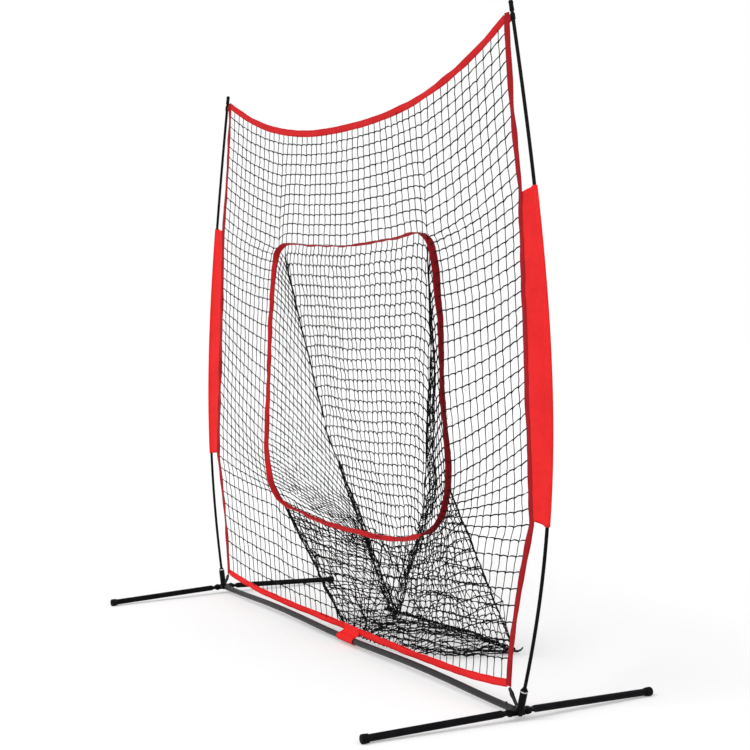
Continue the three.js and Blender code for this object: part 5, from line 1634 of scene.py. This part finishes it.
@dataclass
class Straps:
    """The corner straps with their buckles, the flap round the crossbar and the pocket's tab."""

    outline: Outline
    width: float = 0.0125
    thickness: float = 0.0012
    layer_gap: float = 0.0014
    buckle_half_long: float = 0.008
    buckle_half_wide: float = 0.0085
    flap_middle: float = 0.027
    flap_width: float = 0.124
    flap_columns: int = 24
    wrap: float = 0.0132
    wrap_lift: float = 0.0002

    def build(self) -> None:
        """Builds the straps, flap and tab."""
        for side in Side:
            self._corner(side)
        self._flap()
        self._tab()

    def _corner(self, side: Side) -> None:
        """A strap of two layers from the net's bottom corner down to the pole's socket."""
        node = f"corner_strap_{side.word}"
        low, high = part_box(node)
        inner, outer = (low.x, high.x) if side is Side.RIGHT else (high.x, low.x)
        middle = (low.y + high.y) / 2
        start = Vector((mix(inner, outer, 0.12), middle, high.z - 0.004))
        end = Vector((mix(inner, outer, 0.88), middle, low.z + 0.004))
        along = (end - start).normalized()
        across = along.cross(BACKWARDS)
        for name, way, sag in (("outer", -1, -0.0006), ("inner", 1, 0.0012)):
            path = [
                start.lerp(end, share) + BACKWARDS * (way * self.layer_gap + math.sin(math.pi * share) * sag)
                for share in spread(14)
            ]
            bm = sweep(bmesh.new(), frames_along(path, across), ribbon(self.width, self.thickness))
            finished(bm, f"{node}_{name}", WEBBING, [node] if name == "outer" else [])
        self._buckle(side, start.lerp(end, 0.36), along, across)

    def _buckle(self, side: Side, centre: Vector, along: Vector, across: Vector) -> None:
        """A ladder-lock buckle: a rounded frame with two bars."""
        normal, wide = along.cross(across), self.buckle_half_wide
        ring = []
        for x, y in circle(1.0, 20):
            x, y = (math.copysign(abs(way) ** 0.45, way) for way in (x, y))
            ring.append(centre + across * (x * wide) + along * (y * self.buckle_half_long))
        bm = bmesh.new()
        sweep(bm, frames_along(ring, normal, closed=True), ribbon(0.0042, 0.0022), closed=True)
        for shift in (-0.0028, 0.003):
            bar = [centre + across * x + along * shift for x in (-wide, wide)]
            sweep(bm, frames_along(bar, normal), ribbon(0.0036, 0.002))
        finished(bm, f"corner_buckle_{side.word}", RUBBER)

    def _flap(self) -> None:
        """The red cloth that is sewn to the bottom tape and goes round the crossbar."""
        edge, bar = self.outline, self.outline.bar_height
        tape = edge.on_face(self.flap_middle, edge.bottom_edge(self.flap_middle))
        front = tape.y - 0.0028
        section = [(front, tape.z + 0.0118), (front - 0.0003, tape.z + 0.004), (front, tape.z - 0.0117)]
        for angle in spread(22, math.radians(80), math.radians(390)):
            section.append((self.wrap * math.cos(angle), bar + self.wrap_lift + self.wrap * math.sin(angle)))
        travelled = [0.0]
        for before, after in zip(section, section[1:]):
            travelled.append(travelled[-1] + math.dist(before, after))
        bm = bmesh.new()
        along, across = bm.verts.layers.float.new("along"), bm.verts.layers.float.new("across")
        rows = len(section) - 1
        bmesh.ops.create_grid(bm, x_segments=self.flap_columns, y_segments=rows, size=0.5)
        for vert in bm.verts:
            shift, row = vert.co.x * self.flap_width, round((vert.co.y + 0.5) * rows)
            vert[along], vert[across] = travelled[row], shift
            vert.co = (self.flap_middle + shift, *section[row])
            ripple = noise.noise(Vector((vert.co.x * 30, vert.co.z * 22, 4.0))) * 0.0006
            vert.co += Vector((0, vert.co.y, vert.co.z - bar)).normalized() * abs(ripple)
        bmesh.ops.recalc_face_normals(bm, faces=bm.faces[:])
        cloth = finished(bm, "flap_cloth", FLAP, ["crossbar_flap"], angle=70)
        thickened(cloth)

    def _tab(self) -> None:
        """The short webbing tab at the pocket's rear corner."""
        seat = Vector((0.4423, 0.4150, 0.0125))
        bends = ((0, 0, 0), (7, 6, 1), (14, 22, 5), (18, 40, 2), (17, 54, 5), (13, 65, 10))
        path = [seat + Vector(bend) / 1000 for bend in bends]
        across = [BACKWARDS] * 2 + [Vector((0.6, -0.3, 0.75))] * (len(path) - 2)
        bm = sweep(bmesh.new(), frames_along(path, across), ribbon(0.012, 0.0030))
        finished(bm, "pocket_tab_webbing", WEBBING, ["pocket_tab"])


# ---------------------------------------------------------------------------- stage


@dataclass
class Stage:
    """Floor, soft light, plain backdrop and the photograph's camera."""

    place: Colour = (4.7528, -2.4096, 1.2325)
    azimuth: float = 61.785
    elevation: float = 2.627
    roll: float = -0.566
    focal: float = 70.44
    floor_size: float = 60.0
    floor_drop: float = 0.0005
    floor_grey: float = 0.80
    floor_glow: float = 0.26
    even_light: float = 0.5

    def build(self) -> None:
        """Sets up everything round the object."""
        self._camera()
        self._floor()
        self._world()
        self._lamp("key_lamp", Vector((1.2, -5.0, 5.2)), 30.0, 1.6)
        self._lamp("fill_lamp", Vector((6.0, 1.0, 4.5)), 50.0, 0.7)
        bpy.context.scene.view_settings.view_transform = "Standard"

    def _camera(self) -> None:
        """Stands the camera where the photograph was taken."""
        a, e, r = (math.radians(x) for x in (self.azimuth, self.elevation, self.roll))
        back = Vector((math.sin(a) * math.cos(e), -math.cos(a) * math.cos(e), math.sin(e)))
        right = Vector((math.cos(a), math.sin(a), 0.0))
        up = back.cross(right)
        rolled = (right * math.cos(r) + up * math.sin(r), up * math.cos(r) - right * math.sin(r), back)
        data = bpy.data.cameras.new("photo_camera")
        data.lens, data.sensor_width, data.sensor_fit = self.focal, 36.0, "HORIZONTAL"
        data.clip_start, data.clip_end = 0.1, 200.0
        camera = linked("photo_camera", data)
        camera.matrix_world = Matrix.Translation(self.place) @ Matrix(rolled).transposed().to_4x4()
        bpy.context.scene.camera = camera

    def _floor(self) -> None:
        """A pale floor that keeps the object's shadow."""
        bm = bmesh.new()
        bmesh.ops.create_grid(bm, x_segments=2, y_segments=2, size=self.floor_size / 2)
        bmesh.ops.translate(bm, vec=(0, 0, -self.floor_drop), verts=bm.verts[:])
        graph = Graph(bpy.data.materials.new("pale_floor"))
        matt = graph.node("ShaderNodeBsdfDiffuse", None, {"Color": (*[self.floor_grey] * 3, 1)})
        glow = graph.node("ShaderNodeEmission", None, {"Color": (1, 1, 1, 1), "Strength": self.floor_glow})
        both = graph.node("ShaderNodeAddShader", None, {0: matt, 1: glow})
        self._seen(graph, matt, both, "ShaderNodeOutputMaterial")
        solid(bm, "floor", graph.owner)

    def _seen(self, graph: Graph, lighting: Value, shown: Value, output: str) -> None:
        """Ends a graph that rays from the camera, from gloss and through glass see in another way.

        Args:
            graph: the graph.
            lighting: the shader for all other rays.
            shown: the shader for the rays that are seen.
            output: the output node's type.
        """
        rays = [
            graph.node("ShaderNodeLightPath", output=name)
            for name in ("Is Camera Ray", "Is Glossy Ray", "Is Transmission Ray")
        ]
        share = (rays[0] + rays[1] + rays[2]).band(0.0, 1.0)
        mixed = graph.node("ShaderNodeMixShader", None, {0: share, 1: lighting, 2: shown})
        graph.node(output, None, {"Surface": mixed})

    def _world(self) -> None:
        """A white backdrop over a dimmer, even light."""
        world = bpy.data.worlds.new("studio")
        bpy.context.scene.world = world
        graph = Graph(world)
        light, white = (
            graph.node("ShaderNodeBackground", None, {"Color": (1, 1, 1, 1), "Strength": strength})
            for strength in (self.even_light, 1.0)
        )
        self._seen(graph, light, white, "ShaderNodeOutputWorld")

    def _lamp(self, name: str, place: Vector, disc: float, strength: float) -> None:
        """A distant lamp with a broad disc, which lights object and floor evenly.

        Args:
            name: the lamp's name.
            place: the way that it shines from, seen from the net's middle.
            disc: its disc in degrees; a wide one casts soft shadows.
            strength: its light, in watts on each square metre.
        """
        data = bpy.data.lights.new(name, "SUN")
        data.angle, data.energy = math.radians(disc), strength
        linked(name, data).matrix_world = upright(place, place)


def main() -> None:
    """Builds the net's looks."""
    logging.basicConfig(level=logging.INFO, format="%(name)s: %(message)s")
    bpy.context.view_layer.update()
    noise.seed_set(SEED)
    Stage().build()
    outline = Outline()
    Crossbar(outline).build()
    for side in Side:
        Hub(outline, side).build()
        BowedPole(outline, side).build()
    Tapes(outline).build()
    for side in Side:
        Sleeve(outline, side).build()
    NetFace(outline).build()
    Pocket(outline).build()
    Straps(outline).build()
    bpy.context.view_layer.update()


if __name__ == "__main__":
    main()
